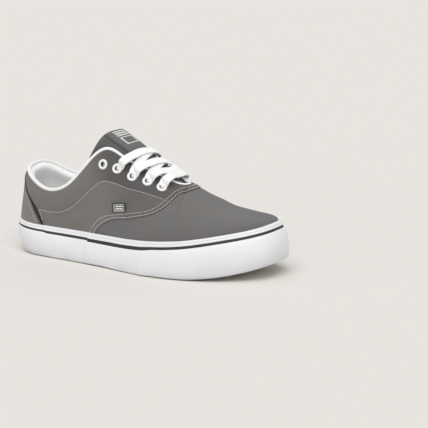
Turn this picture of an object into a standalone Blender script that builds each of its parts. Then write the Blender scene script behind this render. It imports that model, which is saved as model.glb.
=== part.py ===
"""Skateboarding shoe for the right foot, empty and laced.

Lengths below are millimetres. Toe +X, inner (medial) side +Y, outer (lateral)
side -Y, up +Z, floor z = 0. The shapes are worked out with x = 0 at the back
of the heel, and the last step moves them so that the origin is the centre of
the bottom of the bounding box.

Every soft or rubber piece comes from two functions: side_wall, the profile of
the sole's side, and shell, the surface of the upper. Both take a side (-1
outer, +1 inner) and a share s of the way along the outline from the heel
centre (0) to the toe centre (1).
"""

import bmesh
import bpy
import numpy as np
from mathutils import Matrix, Vector

OUTER, INNER = -1, 1

# main sizes
LENGTH = 288.0  # sole from heel to toe, size EU 42
BALL_WIDTH = 107.0  # outline of the sole across the ball of the foot
SOLE_HEIGHT = 34.3  # side of the sole at the heel
UPPER_HEIGHT = 113.0  # floor to the front corner of the collar
HEEL_CAP, TOE_CAP = 41.0, 80.0  # lengths of the rounded ends of the outline
HEEL_POWER, TOE_POWER = 2.1, 2.75  # squareness of the two ends
SWING = 15.0  # how far the centre line swings to the inner side at the toe
TOE_SPRING = 14.0
ARCH, HEEL_WEAR = 0.5, 1.0  # lift of the tread at the arch and at the heel's edge

# clearances
GAP = 0.3
TAPE_CLEAR = 0.9  # between the tape and the pieces it wraps
TONGUE_CLEAR = 0.8  # between the tongue and the bound edge above it

# rubber tape round the side
TAPE = 2.4  # thickness
STRIP, STRIPE = 4.2, 2.1  # heights of the white top strip and the dark line
STRIPE_DEPTH = 0.55  # how far the dark line lies behind the tape's face
TAPE_COVER = 1.2  # how far the tape's top edge covers the foot of the upper
FOXING_LIFT, BUMPER_LIFT = 0.5, 1.0  # lower edges above the tread's line
BUMPER_THIN, BUMPER_THICK = 1.15, 1.7  # toe bumper at its cut ends and at the toe
BUMPER_LAP = 0.5  # how far the bumper stands off the tape below it

# outsole and insole
RIM = 7.0  # upright rim above the tread
TREAD = 2.2  # height of the lugs
TREAD_INSET = 5.0  # edge of the tread inside the rim
LUG_STEP_X, LUG_STEP_Y = 20.0, 18.0
LUG_HALF_X, LUG_HALF_Y = 7.9, 6.9
LUG_START = 9.0  # first row of lugs from the back of the heel
LUG_EDGE = 1.6  # lugs stay this far inside the edge of the tread
LUG_ROOT = 2.5  # how far a lug is sunk into the outsole
INSOLE = 4.2
INSOLE_CLEAR = 1.1

# upper
WALL = 2.1
BINDING = 1.75  # radius of the bound edge
THROAT_ROUND = 6.0  # length over which the foot of the throat closes
COUNTER_LOW, COUNTER_HIGH = 0.7, 1.5  # heel counter's faces above the upper
PIPING_RADIUS, PIPING_LIFT = 1.0, 1.5
SEAM_WIDE = 7.0
SEAM_LOW, SEAM_HIGH = 0.6, 1.4
TAG_WIDE, TAG_TALL, TAG_THICK = 16.0, 8.5, 1.4

# eyelets, laces and tongue
EYELET_RADIUS, EYELET_HOLE_RADIUS = 5.1, 2.3
EYELET_LIFT, EYELET_HEIGHT = 0.75, 1.25
LACE_WIDTH, LACE_THICK = 7.6, 1.3
LACE_STACK = 1.0  # an outer strand lies this much higher than an inner one
TONGUE_THICK = 7.0
LABEL_LOW, LABEL_HIGH = 0.65, 1.5  # woven label's faces above the tongue

# outline of the sole at its widest height, one row per section: share of
# LENGTH, then half widths from the centre line as shares of BALL_WIDTH
#     share  inner  outer
OUTLINE = np.array([
    (0.00, 0.345, 0.345),
    (0.15, 0.345, 0.350),
    (0.30, 0.331, 0.359),
    (0.42, 0.313, 0.400),
    (0.55, 0.370, 0.479),
    (0.66, 0.434, 0.533),
    (0.75, 0.466, 0.533),
    (0.87, 0.450, 0.489),
    (1.00, 0.401, 0.410),
]) * [1, BALL_WIDTH, BALL_WIDTH]

# side of the sole: share of LENGTH; heights of its top edge and of the seat
# that carries the foot, as shares of SOLE_HEIGHT above the toe spring; how far
# its bottom and top edges stand outside (+) the outline, as shares of
# SOLE_HEIGHT
#     share   top   seat   bottom  top
#                          out     out
SIDE = np.array([
    (0.00, 1.000, 0.525, -0.201, -0.015),
    (0.12, 0.945, 0.513, -0.093, -0.055),
    (0.25, 0.901, 0.484, 0.017, -0.125),
    (0.40, 0.889, 0.437, 0.064, -0.137),
    (0.55, 0.921, 0.391, 0.076, -0.140),
    (0.70, 1.029, 0.379, 0.076, -0.146),
    (0.85, 1.134, 0.394, 0.035, -0.184),
    (1.00, 1.085, 0.321, -0.017, -0.224),
]) * [1, SOLE_HEIGHT, SOLE_HEIGHT, SOLE_HEIGHT, SOLE_HEIGHT]

# upper: one row per rib. The rib rises from the sole's edge at share s to its
# top point, which is the collar edge, the throat edge or the ridge of the
# vamp. x is a share of LENGTH; half, from the centre line, of BALL_WIDTH; z
# above the toe spring, and its extra on the inner side, of UPPER_HEIGHT. rise
# is the rib's angle at its top (90 upright, 0 level), lean its outward angle
# at the sole; the two pulls say how far each end keeps its direction.
#      s      x       half   z       inner  rise  top   lean  foot
#                                    extra        pull        pull
RIBS = np.array([
    (0.000, 0.0361, 0.000, 0.7522, 0.000, 84.0, 0.30, -4.0, 0.34),
    (0.040, 0.0417, 0.089, 0.7434, 0.022, 84.0, 0.30, -4.0, 0.34),
    (0.080, 0.0576, 0.168, 0.7168, 0.040, 84.0, 0.30, -3.0, 0.34),
    (0.130, 0.0903, 0.238, 0.6708, 0.049, 83.0, 0.30, -1.0, 0.34),
    (0.190, 0.1441, 0.279, 0.6071, 0.058, 82.0, 0.30, 2.0, 0.34),
    (0.250, 0.2014, 0.292, 0.5982, 0.066, 80.0, 0.30, 4.0, 0.34),
    (0.310, 0.2639, 0.290, 0.6770, 0.058, 78.0, 0.28, 5.0, 0.32),
    (0.365, 0.3229, 0.277, 0.8363, 0.031, 74.0, 0.28, 5.0, 0.30),
    (0.405, 0.3646, 0.258, 0.9513, 0.009, 70.0, 0.28, 5.0, 0.30),
    (0.440, 0.4045, 0.237, 1.0018, 0.000, 62.0, 0.28, 5.0, 0.30),
    (0.490, 0.4653, 0.209, 0.9274, 0.000, 56.0, 0.30, 6.0, 0.30),
    (0.535, 0.5208, 0.187, 0.8673, 0.000, 52.0, 0.32, 7.0, 0.32),
    (0.590, 0.5868, 0.155, 0.7956, 0.000, 44.0, 0.34, 8.0, 0.34),
    (0.640, 0.6458, 0.129, 0.7310, 0.000, 24.0, 0.34, 8.0, 0.38),
    (0.672, 0.6806, 0.112, 0.7044, 0.000, 3.0, 0.32, 8.0, 0.40),
    (0.700, 0.7083, 0.103, 0.6636, 0.000, 0.0, 0.32, 8.0, 0.40),
    (0.760, 0.7639, 0.093, 0.5767, 0.000, 0.0, 0.34, 8.0, 0.38),
    (0.830, 0.8229, 0.093, 0.5040, 0.000, 0.0, 0.38, 9.0, 0.34),
    (0.890, 0.8646, 0.093, 0.4671, 0.000, 0.0, 0.42, 10.0, 0.32),
    (0.950, 0.8958, 0.093, 0.4419, 0.000, 0.0, 0.48, 10.0, 0.30),
    (1.000, 0.9097, 0.093, 0.4306, 0.000, 0.0, 0.55, 10.0, 0.30),
]) * [1, LENGTH, BALL_WIDTH, UPPER_HEIGHT, UPPER_HEIGHT, 1, 1, 1, 1]
THROAT_X = 0.6806 * LENGTH  # foot of the throat, the RIBS row where rise nears 0
COLLAR_FRONT, COLLAR_FADE = 0.4236 * LENGTH, 0.0625 * LENGTH  # where inner extra ends
SADDLE = 0.104 * LENGTH  # length over which the ribs turn to follow the ridge

# seam and trim lines on the upper: share s of the rib, share w up the rib
PIPING = np.array([
    (0.000, 0.93),
    (0.030, 0.90),
    (0.064, 0.84),
    (0.108, 0.71),
    (0.149, 0.51),
    (0.174, 0.28),
    (0.190, 0.06),
])
SEAM = np.array([
    (0.366, 0.090),
    (0.378, 0.150),
    (0.400, 0.205),
    (0.457, 0.265),
    (0.515, 0.335),
    (0.575, 0.425),
    (0.607, 0.540),
    (0.629, 0.665),
    (0.655, 0.830),
    (0.679, 0.930),
    (0.695, 1.000),
])
# eyelets, from the collar to the toe: share s, share w
EYELETS = np.array([
    (0.4206, 0.830),
    (0.4649, 0.800),
    (0.5115, 0.820),
    (0.5566, 0.838),
    (0.5977, 0.840),
])
TAG = (0.469, 0.335)

# tongue, from its hidden foot to its top edge. x is a share of LENGTH; z above
# the toe spring of UPPER_HEIGHT; bend radius and half width along the bend of
# BALL_WIDTH; thickness of TONGUE_THICK. The rows give the surface that the
# bound edge would touch from above, and the tongue lies TONGUE_UNDER below it.
#      x       z       radius half   thick
TONGUE = np.array([
    (0.7849, 0.5240, 0.496, 0.199, 0.34),
    (0.7436, 0.5893, 0.421, 0.216, 0.34),
    (0.6993, 0.6618, 0.309, 0.237, 0.37),
    (0.6545, 0.7410, 0.225, 0.268, 0.46),
    (0.5956, 0.8470, 0.207, 0.294, 0.60),
    (0.5296, 0.9692, 0.207, 0.315, 0.74),
    (0.4798, 1.0520, 0.216, 0.329, 0.89),
    (0.4305, 1.1200, 0.230, 0.331, 1.00),
    (0.3852, 1.1785, 0.249, 0.328, 1.00),
]) * [LENGTH, UPPER_HEIGHT, BALL_WIDTH, BALL_WIDTH, TONGUE_THICK]
TONGUE_UNDER = WALL / 2 + BINDING + TONGUE_CLEAR

# finish: sRGB colour and roughness of each material
FINISHES = {
    "canvas": (0x6F6E6C, 0.95),
    "canvas_tongue": (0x5E5E5F, 0.95),
    "rubber_white": (0xE4E5E7, 0.50),
    "rubber_dark": (0x3A3B3A, 0.60),
    "rubber_outsole": (0xDDDDDB, 0.65),
    "cord_dark": (0x2C2A2D, 0.90),
    "binding_white": (0xEDEDED, 0.85),
    "woven_label": (0x55564F, 0.85),
    "insole_cloth": (0xC2C2C0, 0.95),
    "lace_white": (0xF0F0F0, 0.85),
    "eyelet_enamel": (0xF0F0F0, 0.30),
}

SECTION_STEP = 9.6  # length of one facet along the sole
PER_SIDE = round(LENGTH / SECTION_STEP)


def smooth(xs, ys, x):
    """Natural cubic through the points of a table, read at x."""
    xs, ys = np.asarray(xs, float), np.asarray(ys, float)
    n, h = len(xs), np.diff(xs)
    a, b = np.eye(n), np.zeros(n)
    for i in range(1, n - 1):
        a[i, i - 1 : i + 2] = h[i - 1], 2 * (h[i - 1] + h[i]), h[i]
        b[i] = 6 * ((ys[i + 1] - ys[i]) / h[i] - (ys[i] - ys[i - 1]) / h[i - 1])
    m = np.linalg.solve(a, b)
    x = np.asarray(x, float)
    i = np.clip(np.searchsorted(xs, x) - 1, 0, n - 2)
    d, u = h[i], x - xs[i]
    v = d - u
    bend = (m[i] * v**3 + m[i + 1] * u**3) / (6 * d)
    return bend + (ys[i] / d - m[i] * d / 6) * v + (ys[i + 1] / d - m[i + 1] * d / 6) * u


def read(table, column, at):
    return smooth(table[:, 0], table[:, column], at)


def ease(t):
    t = np.clip(t, 0, 1)
    return t * t * (3 - 2 * t)


def unit(v):
    return v / np.linalg.norm(v, axis=-1, keepdims=True)


def centre(x):
    """y of the sole's centre line."""
    return SWING * ease((x / LENGTH - 0.45) / 0.55)


def spring(x):
    """Lift of everything in front of the ball of the foot."""
    return TOE_SPRING * np.clip((x / LENGTH - 0.70) / 0.30, 0, 1) ** 2


def floor_z(x):
    """Height of the tread: flat under heel and ball, a low arch between them,
    a worn heel edge, and the toe spring."""
    q = x / LENGTH
    arch = ARCH * np.sin(np.pi * np.clip((q - 0.30) / 0.22, 0, 1)) ** 2
    return spring(x) + arch + HEEL_WEAR * np.clip((0.05 - q) / 0.05, 0, 1) ** 2


def dense_half(side):
    """Half of the outline as (x, y, outward x, outward y, share of its length).
    The two ends are superellipse caps on the half widths of the table."""
    heel_x = HEEL_CAP * (1 - np.cos(np.linspace(0, np.pi / 2, 300)))
    waist_x = np.linspace(HEEL_CAP, LENGTH - TOE_CAP, 300)
    toe_x = LENGTH - TOE_CAP + TOE_CAP * np.sin(np.linspace(0, np.pi / 2, 400))
    x = np.concatenate([heel_x, waist_x[1:], toe_x[1:]])
    heel = np.clip(1 - x / HEEL_CAP, 0, 1)
    toe = np.clip((x - (LENGTH - TOE_CAP)) / TOE_CAP, 0, 1)
    cap = (1 - heel**HEEL_POWER) ** (1 / HEEL_POWER) * (1 - toe**TOE_POWER) ** (1 / TOE_POWER)
    y = centre(x) + side * read(OUTLINE, 1 if side == INNER else 2, x / LENGTH) * cap
    run = np.concatenate([[0], np.cumsum(np.hypot(np.diff(x), np.diff(y)))])
    tx, ty = np.gradient(x, run), np.gradient(y, run)
    return x, y, -side * ty, side * tx, run / run[-1]


HALVES = {side: dense_half(side) for side in (OUTER, INNER)}


def outline(side, s):
    """Points of the outline at shares s, and the outward direction there."""
    x, y, nx, ny, run = HALVES[side]
    point = np.stack([np.interp(s, run, x), np.interp(s, run, y)], -1)
    out = np.stack([np.interp(s, run, nx), np.interp(s, run, ny)], -1)
    out[(np.asarray(s) <= 0) | (np.asarray(s) >= 1), 1] = 0
    return point, unit(out)


def top_z(x):
    return read(SIDE, 1, x / LENGTH) + spring(x)


def seat_z(x):
    return read(SIDE, 2, x / LENGTH) + spring(x)


def side_wall(side, s, z, out=0.0):
    """The side of the sole at height z, moved outwards by out. The offset from
    the outline is a parabola through the bottom edge, 0 half way, and the top."""
    point, normal = outline(side, s)
    x = point[..., 0]
    low = floor_z(x)
    h = (z - low) / (top_z(x) - low)
    low_out, top_out = read(SIDE, 3, x / LENGTH), read(SIDE, 4, x / LENGTH)
    offset = low_out * (1 - h) * (1 - 2 * h) + top_out * h * (2 * h - 1) + out
    flat = point + normal * offset[..., None]
    return np.concatenate([flat, np.broadcast_to(z, offset.shape)[..., None]], -1)


def ridge_z(s):
    """Height of the ribs' top points on the outer side."""
    return read(RIBS, 3, s) + spring(read(RIBS, 1, s))


def rib(side, s, w):
    """The upper's outer surface. w runs from -1 (on the seat) to 0 (at the top
    of the sole's side) along the tape, then to 1 at the rib's top point along
    a cubic that leaves the foot at the lean angle and ends at the rise angle."""
    s, w = np.broadcast_arrays(np.asarray(s, float), np.asarray(w, float))
    x, half, extra, rise = (read(RIBS, k, s) for k in (1, 2, 4, 5))
    pull_top, lean, pull_foot = (read(RIBS, k, s) for k in (6, 7, 8))
    sole_x = outline(side, s)[0][..., 0]
    inside = -(TAPE + TAPE_CLEAR)
    foot_z = top_z(sole_x) - TAPE_COVER
    foot = side_wall(side, s, foot_z, inside)
    before = np.maximum(THROAT_X - x, 0)
    half = np.maximum(half, 0) * np.sqrt(before / (before + THROAT_ROUND))
    extra = (side == INNER) * extra * ease((COLLAR_FRONT - x) / COLLAR_FADE)
    top = np.stack([x, centre(x) + side * half, ridge_z(s) + extra], -1)
    flat = (top - foot) * [1, 1, 0]
    flat = unit(flat)
    step = 1e-3
    slope = (ridge_z(s + step) - ridge_z(s)) / (read(RIBS, 1, s + step) - x)
    end = flat.copy()
    end[..., 2] = np.tan(np.radians(np.maximum(rise, 0)))
    end[..., 2] += flat[..., 0] * slope * ease((x - THROAT_X) / SADDLE + 1)
    end = unit(end)
    lean = np.radians(lean)
    start = np.concatenate([outline(side, s)[1] * np.sin(lean)[..., None], np.cos(lean)[..., None]], -1)
    span = np.linalg.norm(top - foot, axis=-1, keepdims=True)
    a = foot + start * span * pull_foot[..., None]
    b = top - end * span * pull_top[..., None]
    t = np.maximum(w, 0)[..., None]
    curve = foot * (1 - t) ** 3 + 3 * a * t * (1 - t) ** 2 + 3 * b * t * t * (1 - t) + top * t**3
    seat = seat_z(sole_x) + 2 * GAP + 0.1
    down = side_wall(side, s, foot_z + (foot_z - seat) * np.minimum(w, 0), inside)
    return np.where((w >= 0)[..., None], curve, down)


def frame(side, s, w):
    """Outward normal of the upper and its direction up the rib. On the centre
    line the normal is symmetric, so that the two halves meet."""
    s, w = np.broadcast_arrays(np.asarray(s, float), np.asarray(w, float))
    e = 2e-3
    along = rib(side, np.minimum(s + e, 1), w) - rib(side, np.maximum(s - e, 0), w)
    up = rib(side, s, np.minimum(w + e, 1)) - rib(side, s, np.minimum(w + e, 1) - 2 * e)
    along[s <= 0] = 0, side, 0
    along[s >= 1] = 0, -side, 0
    up_ridge = up.copy()
    up_ridge[(w >= 1) & (s < 1) & (read(RIBS, 1, s) >= THROAT_X)] = 0, -side, 0
    return unit(-side * np.cross(along, up_ridge)), unit(up)


def shell(side, s, w, out=0.0):
    """The upper's surface moved outwards by out."""
    normal, _ = frame(side, s, w)
    return rib(side, s, w) + normal * np.broadcast_to(out, normal.shape[:-1])[..., None]


def linear(value):
    """sRGB colour 0xRRGGBB as linear RGBA."""
    parts = np.array([value >> 16, value >> 8 & 255, value & 255]) / 255
    return (*np.where(parts <= 0.04045, parts / 12.92, ((parts + 0.055) / 1.055) ** 2.4), 1.0)


def material(name):
    if name in bpy.data.materials:
        return bpy.data.materials[name]
    colour, roughness = FINISHES[name]
    made = bpy.data.materials.new(name)
    made.use_nodes = True
    shader = made.node_tree.nodes["Principled BSDF"]
    shader.inputs["Base Color"].default_value = linear(colour)
    shader.inputs["Roughness"].default_value = roughness
    return made


def place(name, data, finish):
    """Links a new object to the shoe's collection."""
    obj = bpy.data.objects.new(name, data)
    data.materials.append(material(finish))
    bpy.data.collections["skateboarding_shoe"].objects.link(obj)
    return obj


def make(name, finish, points, faces, weld=0.0):
    """One object from points in millimetres and faces, turned to face out."""
    mesh = bpy.data.meshes.new(name)
    points = np.asarray(points, float).reshape(-1, 3) / 1000
    mesh.from_pydata(points.tolist(), [], [list(map(int, f)) for f in faces])
    bm = bmesh.new()
    bm.from_mesh(mesh)
    if weld:
        bmesh.ops.remove_doubles(bm, verts=bm.verts, dist=weld / 1000)
    bmesh.ops.recalc_face_normals(bm, faces=bm.faces)
    bm.to_mesh(mesh)
    bm.free()
    mesh.shade_smooth()
    mesh.set_sharp_from_angle(angle=np.radians(40))
    return place(name, mesh, finish)


def grid_faces(rows, columns, wrap_rows=False, wrap_columns=False, start=0):
    """Quads of a grid of points, numbered row by row from start."""
    def at(i, j):
        return start + (i % rows) * columns + j % columns

    r = rows if wrap_rows else rows - 1
    c = columns if wrap_columns else columns - 1
    return [(at(i, j), at(i + 1, j), at(i + 1, j + 1), at(i, j + 1)) for i in range(r) for j in range(c)]


def bar(name, finish, sections, closed=False):
    """A solid from closed sections, (sections, corners, 3), round or with ends."""
    n, m = sections.shape[:2]
    faces = grid_faces(n, m, closed, True)
    if not closed:
        faces += [tuple(range(m)), tuple(range((n - 1) * m, n * m))]
    return make(name, finish, sections, faces)


def cord(name, finish, path, radius, sides, closed=False):
    """A round cord along points in millimetres: a curve with a bevel."""
    data = bpy.data.curves.new(name, "CURVE")
    data.dimensions = "3D"
    data.bevel_depth = radius / 1000
    data.bevel_resolution = sides // 2 - 2
    data.use_fill_caps = True
    spline = data.splines.new("POLY")
    spline.points.add(len(path) - 1)
    spline.points.foreach_set("co", np.column_stack([path / 1000, np.ones(len(path))]).ravel())
    spline.use_cyclic_u = closed
    obj = place(name, data, finish)
    if not closed:
        weld = obj.modifiers.new("caps", "WELD")
        weld.merge_threshold = 1e-6
    return obj


def around(shares):
    """Both halves as one round trip: pairs (side, share) from the heel centre
    along the outer side to the toe and back along the inner side."""
    inner = shares[(shares > 0) & (shares < 1)][::-1]
    return [(OUTER, s) for s in shares] + [(INNER, s) for s in inner]


def along(trip, function):
    return np.array([function(side, s) for side, s in trip])


def shares_of_ring(count):
    """Shares from 0 to 1 with closer steps round the heel and the toe."""
    t = np.linspace(0, 1, count + 1)
    return t - 0.1 * np.sin(2 * np.pi * t) / (2 * np.pi)


RING = around(shares_of_ring(PER_SIDE))


def slab(name, finish, levels):
    """A solid from level outlines along RING, closed at the top and bottom by
    strips that run across from side to side."""
    n = len(RING)
    faces = grid_faces(len(levels), n, False, True)
    for k in (0, len(levels) - 1):
        for i in range(n // 2):
            faces.append([k * n + j for j in dict.fromkeys((i, i + 1, (n - i - 1) % n, (n - i) % n))])
    return make(name, finish, np.array(levels), faces)


def level(z_of, out):
    """Outline of the sole's side at the height z_of(x), moved outwards by out."""
    return along(RING, lambda side, s: side_wall(side, s, z_of(outline(side, s)[0][0]), out))


def stripe_top(side, s):
    return top_z(outline(side, s)[0][..., 0]) - STRIP


def bumper_cover(s):
    """How far the toe bumper has taken over from the plain tape."""
    return ease((s - 0.555) / 0.05)


def build_outsole():
    inside = -(TAPE + TAPE_CLEAR)
    outsole = slab("outsole", "rubber_outsole", [
        level(seat_z, inside),
        level(lambda x: floor_z(x) + RIM, inside),
        level(floor_z, inside),
        level(floor_z, inside - TREAD_INSET),
        level(lambda x: floor_z(x) + TREAD, inside - TREAD_INSET - 0.8),
    ])
    join(outsole, lugs(inside - TREAD_INSET + GAP - LUG_EDGE))


def lugs(edge):
    """Diamond lugs in staggered rows, kept where all four corners lie inside
    the outline moved by edge."""
    rim = along(around(np.linspace(0, 1, 60)), lambda a, s: side_wall(a, s, floor_z(outline(a, s)[0][0]), edge))
    points, faces = [], []
    rows, columns = int(BALL_WIDTH / LUG_STEP_Y) + 1, int(2 * LENGTH / LUG_STEP_X) + 1
    for row in range(-rows, rows + 1):
        for column in range(row % 2, columns, 2):
            cx = LUG_START + column * LUG_STEP_X / 2
            cy = row * LUG_STEP_Y / 2 + centre(cx)
            corners = [(cx - LUG_HALF_X, cy), (cx, cy - LUG_HALF_Y), (cx + LUG_HALF_X, cy), (cx, cy + LUG_HALF_Y)]
            if not all(inside_ring(c, rim) for c in corners):
                continue
            base = len(points)
            for height in (0, TREAD + LUG_ROOT):
                points += [(x, y, floor_z(x) + height) for x, y in corners]
            faces += [(base, base + 3, base + 2, base + 1), (base + 4, base + 5, base + 6, base + 7)]
            faces += [(base + k, base + (k + 1) % 4, base + 4 + (k + 1) % 4, base + 4 + k) for k in range(4)]
    return make("lug_tool", "rubber_outsole", points, faces)


def inside_ring(point, ring):
    """True where a ray from the point crosses the ring an odd number of times."""
    x, y = point
    a, b = ring, np.roll(ring, -1, 0)
    cross = (a[:, 1] > y) != (b[:, 1] > y)
    with np.errstate(divide="ignore", invalid="ignore"):
        at = a[:, 0] + (y - a[:, 1]) * (b[:, 0] - a[:, 0]) / (b[:, 1] - a[:, 1])
    return bool((cross & (x < at)).sum() % 2)


def join(obj, tool):
    """A union; the tool is moved to the collection of tools and hidden."""
    tool.hide_render = True
    tool.display_type = "WIRE"
    tool.users_collection[0].objects.unlink(tool)
    bpy.data.collections["joining_tools"].objects.link(tool)
    modifier = obj.modifiers.new("join", "BOOLEAN")
    modifier.operation = "UNION"
    modifier.solver = "EXACT"
    modifier.object = tool


def build_tape():
    """The foxing, the dark line and the ridged top strip, one above another."""
    def foxing(side, s):
        low = floor_z(outline(side, s)[0][0]) + FOXING_LIFT
        high = stripe_top(side, s) - STRIPE
        recess = BUMPER_THICK * bumper_cover(s)
        face = [(0, -0.9), (0.1, 0), (0.5, 0), (0.92, 0), (1, -0.6)]
        back = [(q, recess - TAPE) for q in (1, 0.75, 0.5, 0.25, 0)]
        return [side_wall(side, s, low + (high - low) * q, out - recess) for q, out in face + back]

    def pinstripe(side, s):
        high = stripe_top(side, s)
        low = high - STRIPE
        slack = 0.12
        corners = [(low + slack, STRIPE_DEPTH), (high - slack, STRIPE_DEPTH), (high - slack, TAPE), (low + slack, TAPE)]
        return [side_wall(side, s, z, -depth) for z, depth in corners]

    def strip(side, s):
        low, high = stripe_top(side, s), top_z(outline(side, s)[0][0])
        face = [(0, -0.2), (0.12, 0.2), (0.46, 0.2), (0.54, -0.1), (0.86, 0.05), (1, -0.6)]
        back = [(1, -TAPE), (0, -TAPE)]
        return [side_wall(side, s, low + (high - low) * q, out) for q, out in face + back]

    bar("foxing", "rubber_white", along(RING, foxing), closed=True)
    bar("pinstripe", "rubber_dark", along(RING, pinstripe), closed=True)
    bar("top_strip", "rubber_white", along(RING, strip), closed=True)


def build_bumper():
    """A second tape round the toe. Its ends are cut on a curve, later near the
    top edge, and thin out over the plain tape."""
    front = np.concatenate([np.linspace(0.555, 0.62, 5), np.linspace(0.66, 1, 13)])
    trip = [(OUTER, s) for s in front] + [(INNER, s) for s in front[::-1][1:]]
    face = [(0.0, 0.45), (0.1, 1.0), (0.5, 1.0), (0.92, 1.0), (1.0, 0.55)]
    profile = face + [(q, 0.0) for q in (1.0, 0.75, 0.5, 0.25, 0.0)]

    def section(side, s):
        thick = BUMPER_THIN + (BUMPER_THICK - BUMPER_THIN) * bumper_cover(s)
        points = []
        for q, share in profile:
            cut = 0.048 * (1 - ease((s - 0.555) / 0.11)) * max(q - 0.42, 0) ** 1.6
            low = floor_z(outline(side, s + cut)[0][0]) + BUMPER_LIFT
            high = stripe_top(side, s + cut) - STRIPE - 0.25
            base = BUMPER_LAP - BUMPER_THICK * bumper_cover(s + cut)
            points.append(side_wall(side, s + cut, low + (high - low) * q, base + thick * share))
        return points

    bar("toe_bumper", "rubber_white", along(trip, section))


def build_insole():
    inside = -(TAPE + TAPE_CLEAR + WALL + INSOLE_CLEAR)
    slab("insole", "insole_cloth", [
        level(lambda x: seat_z(x) + GAP, inside - 0.6),
        level(lambda x: seat_z(x) + GAP + 0.9, inside),
        level(lambda x: seat_z(x) + INSOLE - 0.8, inside),
        level(lambda x: seat_z(x) + INSOLE, inside - 1.0),
    ])


def rib_shares():
    """Shares of the upper's ribs, closer where the throat ends in a curve, and
    the share of the rib at the foot of the throat."""
    s = np.linspace(0, 1, 2001)
    foot = float(np.interp(THROAT_X, read(RIBS, 1, s), s)) + 2e-4
    collar = np.linspace(0, 0.40, 17)
    sides = [0.42, 0.435, 0.45, 0.47, 0.50, 0.53, 0.56, 0.59, 0.615, 0.635]
    near = foot - np.array([0.020, 0.011, 0.005, 0.0015, 0])
    vamp = np.linspace(foot + 0.025, 1, 13)
    return np.concatenate([collar, sides, near, vamp]), foot


RIB_SHARES, THROAT_SHARE = rib_shares()


def build_upper():
    """Outer and inner surfaces of both halves, joined at the bound edge and at
    the foot, and welded on the centre line."""
    rows = np.array([-1.0, -0.5, 0.0, 0.14, 0.30, 0.47, 0.64, 0.80, 0.91, 1.0])
    n, m = len(RIB_SHARES), len(rows)
    s, w = np.meshgrid(RIB_SHARES, rows, indexing="ij")
    points, faces = [], []
    for side in (OUTER, INNER):
        start = len(points) * n * m
        points += [shell(side, s, w).reshape(-1, 3), shell(side, s, w, -WALL).reshape(-1, 3)]
        faces += grid_faces(n, m, start=start) + grid_faces(n, m, start=start + n * m)
        for j in (0, m - 1):
            open_ribs = n - 1 if j == 0 else int((RIB_SHARES < THROAT_SHARE).sum())
            for i in range(open_ribs):
                a, b = start + i * m + j, start + (i + 1) * m + j
                faces.append((a, b, b + n * m, a + n * m))
    make("upper", "canvas", np.concatenate(points), faces, weld=0.02)


def line(table, count):
    """Points (s, w) at even steps along a table's smooth line."""
    t = np.linspace(0, 1, len(table))
    q = np.linspace(0, 1, count)
    return np.stack([smooth(t, table[:, 0], q), smooth(t, table[:, 1], q)], -1)


def both_sides(points, to_ridge):
    """A line of (s, w) on the outer side carried on to the inner side, over the
    ridge at its last point or round the heel at its first."""
    outer = [(OUTER, s, w) for s, w in points]
    inner = [(INNER, s, w) for s, w in points]
    return outer + inner[::-1][1:] if to_ridge else outer[::-1] + inner[1:]


def directions(path, on_edge=False):
    """Points of a path [(side, s, w)] on the upper, and at each its normal and
    the direction in the surface square to the path."""
    points = np.array([shell(a, s, w, -WALL / 2 if on_edge else 0) for a, s, w in path])
    normals = np.array([frame(a, s, w)[0] for a, s, w in path])
    if on_edge:
        go = np.roll(points, -1, 0) - np.roll(points, 1, 0)
    else:
        go = np.gradient(points, axis=0)
    return points, normals, unit(np.cross(normals, go))


def build_trim():
    # heel counter: a second layer over the back of the upper, inside the piping
    rows = []
    across = np.linspace(-1, 1, 13)
    for s_edge, w in line(PIPING, 10)[1:]:
        w = max(w - 0.035, 0.085)
        places = [(OUTER if k <= 0 else INNER, abs(k) * max(s_edge - 0.009, 0.004)) for k in across]
        low = [shell(a, s, w, COUNTER_LOW) for a, s in places]
        high = [shell(a, s, w, COUNTER_HIGH) for a, s in places[::-1]]
        rows.append(low + high)
    bar("heel_counter", "canvas", np.array(rows))

    points, normals, _ = directions(both_sides(line(PIPING, 12), to_ridge=False))
    cord("counter_piping", "cord_dark", points + normals * PIPING_LIFT, PIPING_RADIUS, 6)

    # raised seam where the quarters lap over the vamp
    points, normals, cross = directions(both_sides(line(SEAM, 20), to_ridge=True))
    middle = (SEAM_LOW + SEAM_HIGH) / 2
    profile = [(-1, SEAM_LOW), (1, SEAM_LOW), (1, middle), (0.7, SEAM_HIGH), (-0.7, SEAM_HIGH), (-1, middle)]
    bar("vamp_seam", "canvas", np.stack([points + cross * k * SEAM_WIDE / 2 + normals * h for k, h in profile], 1))


def binding_line():
    """Centre of the bound edge: the upper's edge moved away from its wall."""
    open_shares = RIB_SHARES[RIB_SHARES <= THROAT_SHARE]
    trip = [(OUTER, s, 1.0) for s in open_shares] + [(INNER, s, 1.0) for s in open_shares[1:-1][::-1]]
    points, normals, cross = directions(trip, on_edge=True)
    return points + cross * (BINDING + GAP), normals, cross


def build_binding():
    cord("collar_binding", "binding_white", binding_line()[0], BINDING, 8, closed=True)


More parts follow.
